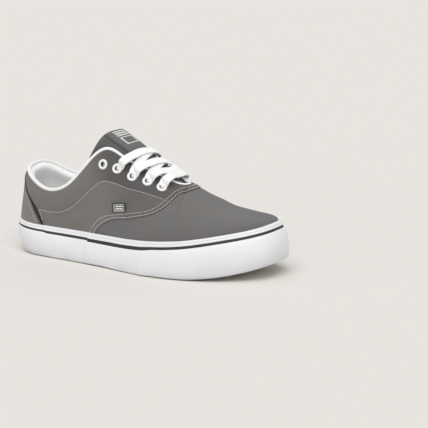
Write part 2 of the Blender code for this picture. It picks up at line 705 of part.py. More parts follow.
def tongue_point(q, v, out=0.0):
    """The tongue's front surface: q from its hidden foot (0) to its top (1), v
    across from -1 (outer) to 1 (inner), out along the normal of the bend."""
    k = np.linspace(0, 1, len(TONGUE))
    x, z, radius, half = (smooth(k, TONGUE[:, c], q) for c in range(4))
    e = 1e-3
    dx = smooth(k, TONGUE[:, 0], q + e) - smooth(k, TONGUE[:, 0], q - e)
    dz = smooth(k, TONGUE[:, 1], q + e) - smooth(k, TONGUE[:, 1], q - e)
    size = np.hypot(dx, dz)
    up_x, up_z = dz / size, -dx / size
    angle = v * half / radius
    inner_radius = radius - TONGUE_UNDER + out
    rise = inner_radius * np.cos(angle) - radius
    return np.stack([
        x + 1.4 * up_x * rise,
        centre(x) * 0.9 + inner_radius * np.sin(angle),
        z + spring(x) + up_z * rise,
    ], -1)


def build_tongue():
    k = np.linspace(0, 1, len(TONGUE))
    v = np.linspace(-1, 1, 11)
    sections = []
    for q in np.append(np.linspace(0, 0.97, 14), 1.0):
        at_end = q in (0.0, 1.0)
        pad = smooth(k, TONGUE[:, 4], q) * (1 - np.abs(v) ** 6) * (0.5 if at_end else 1.0) + 1.2
        shrink = 0.96 if q == 1 else 1.0
        sink = 0.2 * (smooth(k, TONGUE[:, 4], q) - pad)
        front = [tongue_point(q, b * shrink, -c) for b, c in zip(v, sink)]
        back = [tongue_point(q, b * shrink, -c) for b, c in zip(v[::-1], pad[::-1])]
        sections.append(front + back)
    bar("tongue", "canvas_tongue", np.array(sections))

    across = np.linspace(-0.50, 0.50, 7)
    rows = []
    for q in np.linspace(0.80, 0.975, 4):
        low = [tongue_point(q, b, LABEL_LOW) for b in across]
        high = [tongue_point(q, b, LABEL_HIGH) for b in across[::-1]]
        rows.append(low + high)
    bar("tongue_label", "woven_label", np.array(rows))


def eyelet_place(side, k):
    """Point, normal and direction up the rib of eyelet k."""
    s, w = EYELETS[k]
    normal, up = frame(side, s, w)
    return rib(side, s, w), normal, up


def build_eyelets():
    """Ring profile (radius, height) turned round the eyelet's axis."""
    low, high = EYELET_LIFT, EYELET_LIFT + EYELET_HEIGHT
    profile = [
        (EYELET_RADIUS, low),
        (EYELET_RADIUS - 0.2, high - 0.5),
        (EYELET_RADIUS - 1.3, high),
        (EYELET_HOLE_RADIUS + 0.3, high - 0.1),
        (EYELET_HOLE_RADIUS, low),
    ]
    mesh = bpy.data.meshes.new("eyelet")
    edges = [((k + 1) % len(profile), k) for k in range(len(profile))]
    mesh.from_pydata([(r / 1000, 0, h / 1000) for r, h in profile], edges, [])
    for side, letter in ((OUTER, "outer"), (INNER, "inner")):
        for k in range(len(EYELETS)):
            point, normal, up = eyelet_place(side, k)
            ring = place(f"eyelet_{letter}_{k + 1}", mesh.copy(), "eyelet_enamel")
            turn = Matrix([np.cross(up, normal), up, normal]).transposed()
            ring.matrix_world = Matrix.LocRotScale(Vector(point / 1000), turn.to_quaternion(), None)
            screw = ring.modifiers.new("turned", "SCREW")
            screw.steps = screw.render_steps = 12
            screw.use_merge_vertices = True
            screw.merge_threshold = 1e-6
            screw.use_smooth_shade = True


def build_laces():
    """Crossing strands, outer side on top, and the bar at the lowest pair."""
    runs = [(side, k, k + 1, 0.86) for k in (1, 2, 3) for side in (INNER, OUTER)] + [(OUTER, 4, 4, 1.0)]
    cover = cover_points()
    over_eyelet = EYELET_LIFT + EYELET_HEIGHT + GAP + 0.15 + LACE_THICK / 2
    a, b = LACE_WIDTH / 2, LACE_THICK / 2
    profile = [(-a, 0), (0.8 - a, -b), (a - 0.8, -b), (a, 0), (a - 0.8, b), (0.8 - a, b)]
    strands = []
    for index, (side, k, far, reach) in enumerate(runs):
        start, start_normal, _ = eyelet_place(side, k)
        end, end_normal, _ = eyelet_place(-side, far)
        t = np.linspace(0, reach, 10 if reach < 1 else 12)[:, None]
        base = start + (end - start) * t
        up = unit(start_normal * (1 - t) + end_normal * t + np.array([0.55, 0, 0.9]) * np.sin(np.pi * t))
        need = np.array([height_over(p, u, end - start, cover) for p, u in zip(base, up)])
        run = t[:, 0] * np.linalg.norm(end - start)
        lift = hull_line(run, need) + GAP + b + (LACE_STACK if side == OUTER else 0)
        lift[0] = over_eyelet
        if reach == 1:
            lift[-1] = over_eyelet
        points = base + up * lift[:, None]
        go = unit(np.gradient(points, axis=0))
        up = unit(up - go * (up * go).sum(1, keepdims=True))
        cross = np.cross(up, go)
        sections = np.stack([points + cross * i + up * j for i, j in profile], 1)
        strands.append(bar("laces" if not strands else f"lace_tool_{index}", "lace_white", sections))
    for tool in strands[1:]:
        join(strands[0], tool)


def cover_points():
    """What the laces lie on: tongue, upper beside the throat, bound edge and
    eyelets, as a cloud of points."""
    q, v = np.meshgrid(np.linspace(0, 1, 90), np.linspace(-1, 1, 61), indexing="ij")
    clouds = [tongue_point(q, v, 0.3).reshape(-1, 3)]
    angle = np.linspace(0, 2 * np.pi, 25)[:, None]
    for side in (OUTER, INNER):
        s, w = np.meshgrid(np.linspace(0.42, THROAT_SHARE + 0.03, 70), np.linspace(0.7, 1, 24), indexing="ij")
        clouds.append(shell(side, s, w, 0.1).reshape(-1, 3))
        for k in range(1, len(EYELETS)):
            point, normal, up = eyelet_place(side, k)
            turn = np.cos(angle) * up + np.sin(angle) * np.cross(normal, up)
            clouds.append(point + normal * (EYELET_LIFT + EYELET_HEIGHT + 0.2) + EYELET_RADIUS * turn)
    points, out, up = binding_line()
    for turn in np.linspace(0, np.pi, 5):
        edge = points + (out * np.cos(turn) + up * np.sin(turn)) * (BINDING + 0.5)
        clouds += [edge + (np.roll(edge, -1, 0) - edge) * share for share in (0, 0.25, 0.5, 0.75)]
    return np.concatenate(clouds)


def height_over(base, up, run, cover):
    """How far the cover stands above base along up, under the lace's width."""
    go = unit(run - up * (run @ up))
    cross = np.cross(up, go)
    d = cover - base
    near = (np.abs(d @ go) < 3.0) & (np.abs(d @ cross) < LACE_WIDTH / 2 + 0.4)
    near &= np.abs(d @ up) < 30
    return float((d[near] @ up).max()) if near.any() else 0.0


def hull_line(run, z):
    """The tight upper line over the points (run, z)."""
    keep = []
    for i in range(len(run)):
        while len(keep) > 1:
            a, b = keep[-2:]
            if (z[b] - z[a]) * (run[i] - run[a]) > (z[i] - z[a]) * (run[b] - run[a]):
                break
            keep.pop()
        keep.append(i)
    return np.interp(run, run[keep], z[keep])


def build_tag():
    """A small folded flag caught in the seam of the outer side. Its ends curl
    away from the upper as the square of the distance from its middle."""
    point, (normal, up) = rib(OUTER, *TAG), frame(OUTER, *TAG)
    go = np.cross(up, normal)
    go *= np.sign(go[0])
    low, high = 0.75, 0.75 + TAG_THICK
    profile = [(0, low - 0.3), (TAG_TALL, low), (TAG_TALL, high), (0, high - 0.2)]
    across = np.linspace(-TAG_WIDE / 2, TAG_WIDE / 2, 5)
    bar("side_tag", "woven_label", np.array([
        [point + go * a + up * b + normal * (h + 0.012 * a * a) for b, h in profile] for a in across
    ]))


def settle():
    """Moves every object so that the origin is the centre of the bottom of the
    bounding box. The cords lie inside the box of the other pieces."""
    bpy.context.view_layer.update()
    graph = bpy.context.evaluated_depsgraph_get()
    corners = []
    for obj in bpy.data.collections["skateboarding_shoe"].objects:
        if obj.type == "MESH":
            evaluated = obj.evaluated_get(graph)
            corners += [evaluated.matrix_world @ Vector(c) for c in evaluated.bound_box]
    low, high = np.array(corners).min(0), np.array(corners).max(0)
    move = Vector((-(low[0] + high[0]) / 2, -(low[1] + high[1]) / 2, -low[2]))
    for obj in bpy.data.objects:
        obj.location += move
    return move


for old in list(bpy.data.objects):
    bpy.data.objects.remove(old)
for title in ("skateboarding_shoe", "joining_tools"):
    group = bpy.data.collections.new(title)
    bpy.context.scene.collection.children.link(group)

build_outsole()
build_tape()
build_bumper()
build_insole()
build_upper()
build_trim()
build_binding()
build_tongue()
build_eyelets()
build_laces()
build_tag()
MOVED = settle()
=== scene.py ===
"""Looks of the skateboarding shoe: cloth, rubber, laces and thread over the
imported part, on a pale floor.

Lengths below are millimetres, worked out from the back of the heel as in the
part, and moved to the model's origin when a mesh is made. Toe +X, inner side
+Y, outer side -Y, up +Z.
"""

import bmesh
import bpy
import numpy as np
from mathutils import Matrix, Vector


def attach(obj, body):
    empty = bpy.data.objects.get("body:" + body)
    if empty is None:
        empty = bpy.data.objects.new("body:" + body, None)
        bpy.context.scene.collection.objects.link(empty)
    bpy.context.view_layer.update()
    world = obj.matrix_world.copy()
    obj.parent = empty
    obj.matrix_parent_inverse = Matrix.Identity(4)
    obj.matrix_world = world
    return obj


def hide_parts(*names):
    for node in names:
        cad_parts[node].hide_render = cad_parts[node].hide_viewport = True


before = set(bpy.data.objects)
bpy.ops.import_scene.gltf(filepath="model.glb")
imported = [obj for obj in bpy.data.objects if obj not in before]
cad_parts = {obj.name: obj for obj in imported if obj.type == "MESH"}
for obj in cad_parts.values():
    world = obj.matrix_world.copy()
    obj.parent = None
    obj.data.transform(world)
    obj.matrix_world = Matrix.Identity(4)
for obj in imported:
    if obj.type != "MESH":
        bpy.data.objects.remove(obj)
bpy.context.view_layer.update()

OUTER, INNER = -1, 1

# main sizes
LENGTH = 288.0  # sole from heel to toe, size EU 42
BALL_WIDTH = 107.0  # outline of the sole across the ball of the foot
SOLE_HEIGHT = 34.3  # side of the sole at the heel
UPPER_HEIGHT = 113.0  # floor to the front corner of the collar
HEEL_CAP, TOE_CAP = 41.0, 80.0  # lengths of the rounded ends of the outline
HEEL_POWER, TOE_POWER = 2.1, 2.75  # squareness of the two ends
SWING = 15.0  # how far the centre line swings to the inner side at the toe
TOE_SPRING = 14.0
ARCH, HEEL_WEAR = 0.5, 1.0  # lift of the tread at the arch and at the heel's edge

# clearances
GAP = 0.3
TAPE_CLEAR = 0.9  # between the tape and the pieces it wraps
TONGUE_CLEAR = 0.8  # between the tongue and the bound edge above it

# rubber tape round the side
TAPE = 2.4  # thickness
TAPE_COVER = 1.2  # how far the tape's top edge covers the foot of the upper
FOXING_LIFT, BUMPER_LIFT = 0.5, 1.0  # lower edges above the tread's line
BUMPER_THIN, BUMPER_THICK = 1.15, 1.7  # toe bumper at its cut ends and at the toe
BUMPER_LAP = 0.5  # how far the bumper stands off the tape below it
BUMPER_START = 0.555  # share s where the bumper starts
HEEL_JOINT, TAPE_JOINT = 0.2020, 0.3500  # shares s where the bands lap

# outsole and insole
RIM = 7.0  # upright rim above the tread
TREAD = 2.2  # height of the lugs
TREAD_INSET = 5.0  # edge of the tread inside the rim
LUG_STEP_X, LUG_STEP_Y = 20.0, 18.0
LUG_HALF_X, LUG_HALF_Y = 7.9, 6.9
LUG_START = 9.0  # first row of lugs from the back of the heel
INSOLE = 4.2
INSOLE_CLEAR = 1.1

# upper
WALL = 2.1
BINDING = 1.75  # radius of the bound edge
THROAT_ROUND = 6.0  # length over which the foot of the throat closes
COUNTER_LOW, COUNTER_HIGH = 0.7, 1.5  # heel counter's faces above the upper
TAG_WIDE, TAG_TALL = 16.0, 8.5

# eyelets, laces and tongue
LACE_WIDTH, LACE_THICK = 8.6, 1.8
LACE_STACK = 2.0  # an outer strand of the lace lies this much higher than an inner one
TONGUE_THICK = 7.0
TONGUE_LONG, LABEL_WIDE = 150.0, 35.0  # flat lengths that the cloth's patterns follow
LABEL_FOOT, LABEL_TOP = 0.62, 0.985  # ends of the label as shares of the tongue
LABEL_LONG = 54.7  # label between its rolled ends
FOLD_SHARE = 0.56  # fold of the tongue, darkened with painted shade, as a share of its half width

# outline of the sole at its widest height, one row per section: share of
# LENGTH, then half widths from the centre line as shares of BALL_WIDTH
#     share  inner  outer
OUTLINE = np.array([
    (0.00, 0.345, 0.345),
    (0.15, 0.345, 0.350),
    (0.30, 0.331, 0.359),
    (0.42, 0.313, 0.400),
    (0.55, 0.370, 0.479),
    (0.66, 0.434, 0.533),
    (0.75, 0.466, 0.533),
    (0.87, 0.450, 0.489),
    (1.00, 0.401, 0.410),
]) * [1, BALL_WIDTH, BALL_WIDTH]

# side of the sole: share of LENGTH; heights of its top edge and of the seat
# that carries the foot, as shares of SOLE_HEIGHT above the toe spring; how far
# its bottom and top edges stand outside (+) the outline, as shares of
# SOLE_HEIGHT
#     share   top   seat   bottom  top
#                          out     out
SIDE = np.array([
    (0.00, 1.000, 0.525, -0.201, -0.015),
    (0.12, 0.945, 0.513, -0.093, -0.055),
    (0.25, 0.901, 0.484, 0.017, -0.125),
    (0.40, 0.889, 0.437, 0.064, -0.137),
    (0.55, 0.921, 0.391, 0.076, -0.140),
    (0.70, 1.029, 0.379, 0.076, -0.146),
    (0.85, 1.134, 0.394, 0.035, -0.184),
    (1.00, 1.085, 0.321, -0.017, -0.224),
]) * [1, SOLE_HEIGHT, SOLE_HEIGHT, SOLE_HEIGHT, SOLE_HEIGHT]

# upper: one row per rib. The rib rises from the sole's edge at share s to its
# top point, which is the collar edge, the throat edge or the ridge of the
# vamp. x is a share of LENGTH; half, from the centre line, of BALL_WIDTH; z
# above the toe spring, and its extra on the inner side, of UPPER_HEIGHT. rise
# is the rib's angle at its top (90 upright, 0 level), lean its outward angle
# at the sole; the two pulls say how far each end keeps its direction.
#      s      x       half   z       inner  rise  top   lean  foot
#                                    extra        pull        pull
RIBS = np.array([
    (0.000, 0.0361, 0.000, 0.7522, 0.000, 84.0, 0.30, -4.0, 0.34),
    (0.040, 0.0417, 0.089, 0.7434, 0.022, 84.0, 0.30, -4.0, 0.34),
    (0.080, 0.0576, 0.168, 0.7168, 0.040, 84.0, 0.30, -3.0, 0.34),
    (0.130, 0.0903, 0.238, 0.6708, 0.049, 83.0, 0.30, -1.0, 0.34),
    (0.190, 0.1441, 0.279, 0.6071, 0.058, 82.0, 0.30, 2.0, 0.34),
    (0.250, 0.2014, 0.292, 0.5982, 0.066, 80.0, 0.30, 4.0, 0.34),
    (0.310, 0.2639, 0.290, 0.6770, 0.058, 78.0, 0.28, 5.0, 0.32),
    (0.365, 0.3229, 0.277, 0.8363, 0.031, 74.0, 0.28, 5.0, 0.30),
    (0.405, 0.3646, 0.258, 0.9513, 0.009, 70.0, 0.28, 5.0, 0.30),
    (0.440, 0.4045, 0.237, 1.0018, 0.000, 62.0, 0.28, 5.0, 0.30),
    (0.490, 0.4653, 0.209, 0.9274, 0.000, 56.0, 0.30, 6.0, 0.30),
    (0.535, 0.5208, 0.187, 0.8673, 0.000, 52.0, 0.32, 7.0, 0.32),
    (0.590, 0.5868, 0.155, 0.7956, 0.000, 44.0, 0.34, 8.0, 0.34),
    (0.640, 0.6458, 0.129, 0.7310, 0.000, 24.0, 0.34, 8.0, 0.38),
    (0.672, 0.6806, 0.112, 0.7044, 0.000, 3.0, 0.32, 8.0, 0.40),
    (0.700, 0.7083, 0.103, 0.6636, 0.000, 0.0, 0.32, 8.0, 0.40),
    (0.760, 0.7639, 0.093, 0.5767, 0.000, 0.0, 0.34, 8.0, 0.38),
    (0.830, 0.8229, 0.093, 0.5040, 0.000, 0.0, 0.38, 9.0, 0.34),
    (0.890, 0.8646, 0.093, 0.4671, 0.000, 0.0, 0.42, 10.0, 0.32),
    (0.950, 0.8958, 0.093, 0.4419, 0.000, 0.0, 0.48, 10.0, 0.30),
    (1.000, 0.9097, 0.093, 0.4306, 0.000, 0.0, 0.55, 10.0, 0.30),
]) * [1, LENGTH, BALL_WIDTH, UPPER_HEIGHT, UPPER_HEIGHT, 1, 1, 1, 1]
THROAT_X = 0.6660 * LENGTH  # foot of the throat, just behind the row where rise nears 0
COLLAR_FRONT, COLLAR_FADE = 0.4236 * LENGTH, 0.0625 * LENGTH  # where inner extra ends
SADDLE = 0.104 * LENGTH  # length over which the ribs turn to follow the ridge

# seam and trim lines on the upper: share s of the rib, share w up the rib
PIPING = np.array([
    (0.000, 0.93),
    (0.030, 0.90),
    (0.064, 0.84),
    (0.108, 0.71),
    (0.149, 0.51),
    (0.174, 0.28),
    (0.190, 0.06),
])
# eyelets, from the collar to the toe: share s, share w
EYELETS = np.array([
    (0.4206, 0.830),
    (0.4649, 0.800),
    (0.5115, 0.820),
    (0.5566, 0.838),
    (0.5977, 0.840),
])
TAG = (0.469, 0.335)

# tongue, from its hidden foot to its top edge. x is a share of LENGTH; z above
# the toe spring of UPPER_HEIGHT; bend radius and half width along the bend of
# BALL_WIDTH; thickness of TONGUE_THICK. The rows give the surface that the
# bound edge would touch from above, and the tongue lies TONGUE_UNDER below it.
#      x       z       radius half   thick
TONGUE = np.array([
    (0.7849, 0.5240, 0.496, 0.199, 0.34),
    (0.7436, 0.5893, 0.421, 0.216, 0.34),
    (0.6993, 0.6618, 0.309, 0.237, 0.37),
    (0.6545, 0.7410, 0.225, 0.268, 0.46),
    (0.5956, 0.8470, 0.207, 0.294, 0.60),
    (0.5296, 0.9692, 0.207, 0.315, 0.74),
    (0.4798, 1.0520, 0.216, 0.329, 0.89),
    (0.4305, 1.1200, 0.230, 0.331, 1.00),
    (0.3852, 1.1785, 0.249, 0.328, 1.00),
]) * [LENGTH, UPPER_HEIGHT, BALL_WIDTH, BALL_WIDTH, TONGUE_THICK]
TONGUE_UNDER = WALL / 2 + BINDING + TONGUE_CLEAR


def smooth(xs, ys, x):
    """Natural cubic through the points of a table, read at x."""
    xs, ys = np.asarray(xs, float), np.asarray(ys, float)
    n, h = len(xs), np.diff(xs)
    a, b = np.eye(n), np.zeros(n)
    for i in range(1, n - 1):
        a[i, i - 1 : i + 2] = h[i - 1], 2 * (h[i - 1] + h[i]), h[i]
        b[i] = 6 * ((ys[i + 1] - ys[i]) / h[i] - (ys[i] - ys[i - 1]) / h[i - 1])
    m = np.linalg.solve(a, b)
    x = np.asarray(x, float)
    i = np.clip(np.searchsorted(xs, x) - 1, 0, n - 2)
    d, u = h[i], x - xs[i]
    v = d - u
    bend = (m[i] * v**3 + m[i + 1] * u**3) / (6 * d)
    return bend + (ys[i] / d - m[i] * d / 6) * v + (ys[i + 1] / d - m[i + 1] * d / 6) * u


def read(table, column, at):
    return smooth(table[:, 0], table[:, column], at)


def ease(t):
    t = np.clip(t, 0, 1)
    return t * t * (3 - 2 * t)


def unit(v):
    return v / np.linalg.norm(v, axis=-1, keepdims=True)


def centre(x):
    """y of the sole's centre line."""
    return SWING * ease((x / LENGTH - 0.45) / 0.55)


def spring(x):
    """Lift of everything in front of the ball of the foot."""
    return TOE_SPRING * np.clip((x / LENGTH - 0.70) / 0.30, 0, 1) ** 2


def floor_z(x):
    """Height of the tread: flat under heel and ball, a low arch between them,
    a worn heel edge, and the toe spring."""
    q = x / LENGTH
    arch = ARCH * np.sin(np.pi * np.clip((q - 0.30) / 0.22, 0, 1)) ** 2
    return spring(x) + arch + HEEL_WEAR * np.clip((0.05 - q) / 0.05, 0, 1) ** 2


def dense_half(side):
    """Half of the outline as (x, y, outward x, outward y, share of its length).
    The two ends are superellipse caps on the half widths of the table."""
    heel_x = HEEL_CAP * (1 - np.cos(np.linspace(0, np.pi / 2, 300)))
    waist_x = np.linspace(HEEL_CAP, LENGTH - TOE_CAP, 300)
    toe_x = LENGTH - TOE_CAP + TOE_CAP * np.sin(np.linspace(0, np.pi / 2, 400))
    x = np.concatenate([heel_x, waist_x[1:], toe_x[1:]])
    heel = np.clip(1 - x / HEEL_CAP, 0, 1)
    toe = np.clip((x - (LENGTH - TOE_CAP)) / TOE_CAP, 0, 1)
    cap = (1 - heel**HEEL_POWER) ** (1 / HEEL_POWER) * (1 - toe**TOE_POWER) ** (1 / TOE_POWER)
    y = centre(x) + side * read(OUTLINE, 1 if side == INNER else 2, x / LENGTH) * cap
    run = np.concatenate([[0], np.cumsum(np.hypot(np.diff(x), np.diff(y)))])
    tx, ty = np.gradient(x, run), np.gradient(y, run)
    return x, y, -side * ty, side * tx, run / run[-1]


HALVES = {side: dense_half(side) for side in (OUTER, INNER)}


def outline(side, s):
    """Points of the outline at shares s, and the outward direction there."""
    x, y, nx, ny, run = HALVES[side]
    point = np.stack([np.interp(s, run, x), np.interp(s, run, y)], -1)
    out = np.stack([np.interp(s, run, nx), np.interp(s, run, ny)], -1)
    out[(np.asarray(s) <= 0) | (np.asarray(s) >= 1), 1] = 0
    return point, unit(out)


def top_z(x):
    return read(SIDE, 1, x / LENGTH) + spring(x)


def seat_z(x):
    return read(SIDE, 2, x / LENGTH) + spring(x)


def side_wall(side, s, z, out=0.0):
    """The side of the sole at height z, moved outwards by out. The offset from
    the outline is a parabola through the bottom edge, 0 half way, and the top."""
    point, normal = outline(side, s)
    x = point[..., 0]
    low = floor_z(x)
    h = (z - low) / (top_z(x) - low)
    low_out, top_out = read(SIDE, 3, x / LENGTH), read(SIDE, 4, x / LENGTH)
    offset = low_out * (1 - h) * (1 - 2 * h) + top_out * h * (2 * h - 1) + out
    flat = point + normal * offset[..., None]
    return np.concatenate([flat, np.broadcast_to(z, offset.shape)[..., None]], -1)


def ridge_z(s):
    """Height of the ribs' top points on the outer side."""
    return read(RIBS, 3, s) + spring(read(RIBS, 1, s))


def rib(side, s, w):
    """The upper's outer surface. w runs from -1 (on the seat) to 0 (at the top
    of the sole's side) along the tape, then to 1 at the rib's top point along
    a cubic that leaves the foot at the lean angle and ends at the rise angle."""
    s, w = np.broadcast_arrays(np.asarray(s, float), np.asarray(w, float))
    x, half, extra, rise = (read(RIBS, k, s) for k in (1, 2, 4, 5))
    pull_top, lean, pull_foot = (read(RIBS, k, s) for k in (6, 7, 8))
    sole_x = outline(side, s)[0][..., 0]
    inside = -(TAPE + TAPE_CLEAR)
    foot_z = top_z(sole_x) - TAPE_COVER
    foot = side_wall(side, s, foot_z, inside)
    before = np.maximum(THROAT_X - x, 0)
    half = np.maximum(half, 0) * np.sqrt(before / (before + THROAT_ROUND))
    extra = (side == INNER) * extra * ease((COLLAR_FRONT - x) / COLLAR_FADE)
    top = np.stack([x, centre(x) + side * half, ridge_z(s) + extra], -1)
    flat = (top - foot) * [1, 1, 0]
    flat = unit(flat)
    step = 1e-3
    slope = (ridge_z(s + step) - ridge_z(s)) / (read(RIBS, 1, s + step) - x)
    end = flat.copy()
    end[..., 2] = np.tan(np.radians(np.maximum(rise, 0)))
    end[..., 2] += flat[..., 0] * slope * ease((x - THROAT_X) / SADDLE + 1)
    end = unit(end)
    lean = np.radians(lean)
    start = np.concatenate([outline(side, s)[1] * np.sin(lean)[..., None], np.cos(lean)[..., None]], -1)
    span = np.linalg.norm(top - foot, axis=-1, keepdims=True)
    a = foot + start * span * pull_foot[..., None]
    b = top - end * span * pull_top[..., None]
    t = np.maximum(w, 0)[..., None]
    curve = foot * (1 - t) ** 3 + 3 * a * t * (1 - t) ** 2 + 3 * b * t * t * (1 - t) + top * t**3
    seat = seat_z(sole_x) + 2 * GAP + 0.1
    down = side_wall(side, s, foot_z + (foot_z - seat) * np.minimum(w, 0), inside)
    return np.where((w >= 0)[..., None], curve, down)


def skin_frame(side, s, w):
    """Outward normal of the upper and its direction up the rib. On the centre
    line the normal is symmetric, so that the two halves meet."""
    s, w = np.broadcast_arrays(np.asarray(s, float), np.asarray(w, float))
    e = 2e-3
    along = rib(side, np.minimum(s + e, 1), w) - rib(side, np.maximum(s - e, 0), w)
    up = rib(side, s, np.minimum(w + e, 1)) - rib(side, s, np.minimum(w + e, 1) - 2 * e)
    along[s <= 0] = 0, side, 0
    along[s >= 1] = 0, -side, 0
    up_ridge = up.copy()
    up_ridge[(w >= 1) & (s < 1) & (read(RIBS, 1, s) >= THROAT_X)] = 0, -side, 0
    return unit(-side * np.cross(along, up_ridge)), unit(up)


def shell(side, s, w, out=0.0):
    """The upper's surface moved outwards by out."""
    normal, _ = skin_frame(side, s, w)
    return rib(side, s, w) + normal * np.broadcast_to(out, normal.shape[:-1])[..., None]


SHARES = np.linspace(0, 1, 2001)
THROAT_SHARE = float(np.interp(THROAT_X, read(RIBS, 1, SHARES), SHARES)) + 2e-4

# distances of the scene's own
MOVE = np.array([-144.1329, -3.2912, 0.0])  # from the back of the heel to the model's origin
RUN = 345.0  # length of one half of the outline, for distances along s
RISE = 100.0  # length of a rib, for distances along w
METRIC = np.array([RUN, RISE])

# seam lines as the photo shows them: share s, share w
ROW_BACK = np.array([
    (0.3518, 0.020), (0.3666, 0.135), (0.3909, 0.223), (0.4442, 0.271), (0.5043, 0.347),
    (0.5688, 0.437), (0.6003, 0.551), (0.6190, 0.672), (0.6315, 0.785), (0.6413, 0.854),
    (0.6491, 0.895), (0.6554, 0.913), (0.6594, 0.900), (0.6640, 0.942), (0.6663, 0.971),
    (0.6680, 1.000),
])
ROW_FRONT = np.array([
    (0.3645, 0.014), (0.3812, 0.122), (0.4090, 0.195), (0.4707, 0.265), (0.5259, 0.330),
    (0.5822, 0.422), (0.6130, 0.539), (0.6325, 0.664), (0.6412, 0.738), (0.6490, 0.785),
    (0.6548, 0.806), (0.6589, 0.793), (0.6665, 0.843), (0.6720, 0.887), (0.6762, 0.932),
    (0.6783, 0.962), (0.6802, 1.000),
])
COLLAR_ROW = np.array([
    (0.1781, 0.407), (0.2005, 0.405), (0.2265, 0.415), (0.2565, 0.438), (0.2795, 0.478),
    (0.3025, 0.520), (0.3330, 0.583), (0.3555, 0.615), (0.3740, 0.635), (0.3925, 0.647),
    (0.4060, 0.648), (0.4180, 0.637), (0.4320, 0.620), (0.4455, 0.612), (0.4725, 0.620),
    (0.5190, 0.648), (0.5690, 0.662), (0.6120, 0.661),
])
HEEL_ROW = np.array([(0.1781, 0.410), (0.1830, 0.300), (0.1880, 0.150), (0.1925, 0.030)])
COUNTER_ROW = np.array([
    (0.000, 0.875), (0.030, 0.845), (0.060, 0.780), (0.098, 0.655), (0.1187, 0.540),
    (0.1533, 0.264), (0.1700, 0.060),
])

# soft troughs (depth below 0) and ridges: side, s and w of one
# end, s and w of the other, width and height in millimetres
FOLDS = (
    (OUTER, 0.700, 0.78, 0.640, 0.36, 9.0, -0.30),
    (OUTER, 0.735, 0.86, 0.690, 0.42, 9.0, 0.22),
    (OUTER, 0.775, 0.80, 0.735, 0.34, 10.0, -0.25),
    (INNER, 0.700, 0.80, 0.630, 0.34, 7.0, -0.60),
    (INNER, 0.740, 0.84, 0.700, 0.40, 7.0, 0.40),
    (INNER, 0.785, 0.78, 0.740, 0.30, 8.0, -0.50),
    (OUTER, 0.250, 0.30, 0.330, 0.46, 9.0, -0.50),
    (OUTER, 0.300, 0.20, 0.400, 0.42, 8.0, 0.35),
    (OUTER, 0.410, 0.40, 0.520, 0.52, 10.0, -0.45),
    (INNER, 0.230, 0.30, 0.330, 0.48, 9.0, -0.55),
    (INNER, 0.410, 0.38, 0.540, 0.52, 10.0, -0.50),
    (OUTER, 0.880, 0.60, 0.960, 0.74, 9.0, -0.30),
    (INNER, 0.860, 0.56, 0.930, 0.72, 9.0, -0.30),
)


def run_along(points):
    """Length along a line of points, up to each of them."""
    return np.concatenate([[0], np.cumsum(np.linalg.norm(np.diff(points, axis=0), axis=1))])


def columns_at(at, run, table):
    """Each column of a table over run, read at other lengths."""
    return np.stack([np.interp(at, run, column) for column in np.transpose(table)], -1)


def rolled(distance, radius):
    """Share of the full height near a rolled edge: a quarter circle over radius."""
    return np.sqrt(1 - (1 - np.clip(distance / radius, 0, 1)) ** 2)


def on_path(table, count):
    """The smooth line through a table of (s, w), at even steps of its own
    length, measured with RUN and RISE."""
    knots = run_along(table * METRIC)
    fine = np.linspace(0, knots[-1], 40 * len(table))
    rough = np.stack([smooth(knots, table[:, 0], fine), smooth(knots, table[:, 1], fine)], -1)
    run = run_along(rough * METRIC)
    return columns_at(np.linspace(0, run[-1], count), run, rough)


def beside(path, distance):
    """The path moved square to itself, towards the toe and the sole."""
    go = np.gradient(path * METRIC, axis=0)
    square = unit(np.stack([go[:, 1], -go[:, 0]], -1))
    return path + square * distance / METRIC


def distance_to(path, s, w):
    """Millimetres from points (s, w) to the nearest point of a path."""
    p = np.stack(np.broadcast_arrays(s, w), -1)[..., None, :] * METRIC
    a, b = path[:-1] * METRIC, path[1:] * METRIC
    t = np.clip(((p - a) * (b - a)).sum(-1) / ((b - a) ** 2).sum(-1), 0, 1)
    return np.linalg.norm(p - a - t[..., None] * (b - a), axis=-1).min(-1)


SEAM_EDGE = beside(on_path(ROW_FRONT, 160), 1.5)  # front edge of the quarters


def edge_share(w, distance=0.0):
    """Share s of the quarters' front edge at w, or of a line behind it."""
    path = beside(SEAM_EDGE, distance)
    order = np.argsort(path[:, 1])
    return np.interp(w, path[order, 1], path[order, 0])


def folds(side, s, w):
    """Sum of the listed folds: each is a bell across the line between its
    ends, height * exp(-(distance / width) squared), fading past them."""
    total = np.zeros(np.broadcast(s, w).shape)
    for where, s0, w0, s1, w1, width, height in FOLDS:
        if where == side:
            ends = np.array([(s0, w0), (s1, w1)])
            total += height * np.exp(-((distance_to(ends, s, w) / width) ** 2))
    return total


def dimple(distance, width=1.3, depth=0.32):
    """The groove that a row of stitches pulls into the cloth."""
    return -depth * np.exp(-((distance / width) ** 2))


def quads(rows, columns, wrap_rows=False, wrap_columns=False, start=0):
    """Faces of a grid of points, numbered row by row from start."""
    i = np.arange(rows if wrap_rows else rows - 1)[:, None]
    j = np.arange(columns if wrap_columns else columns - 1)[None, :]
    i2, j2 = (i + 1) % rows, (j + 1) % columns
    corners = (i * columns + j, i2 * columns + j, i2 * columns + j2, i * columns + j2)
    return start + np.stack(np.broadcast_arrays(*corners), -1).reshape(-1, 4)


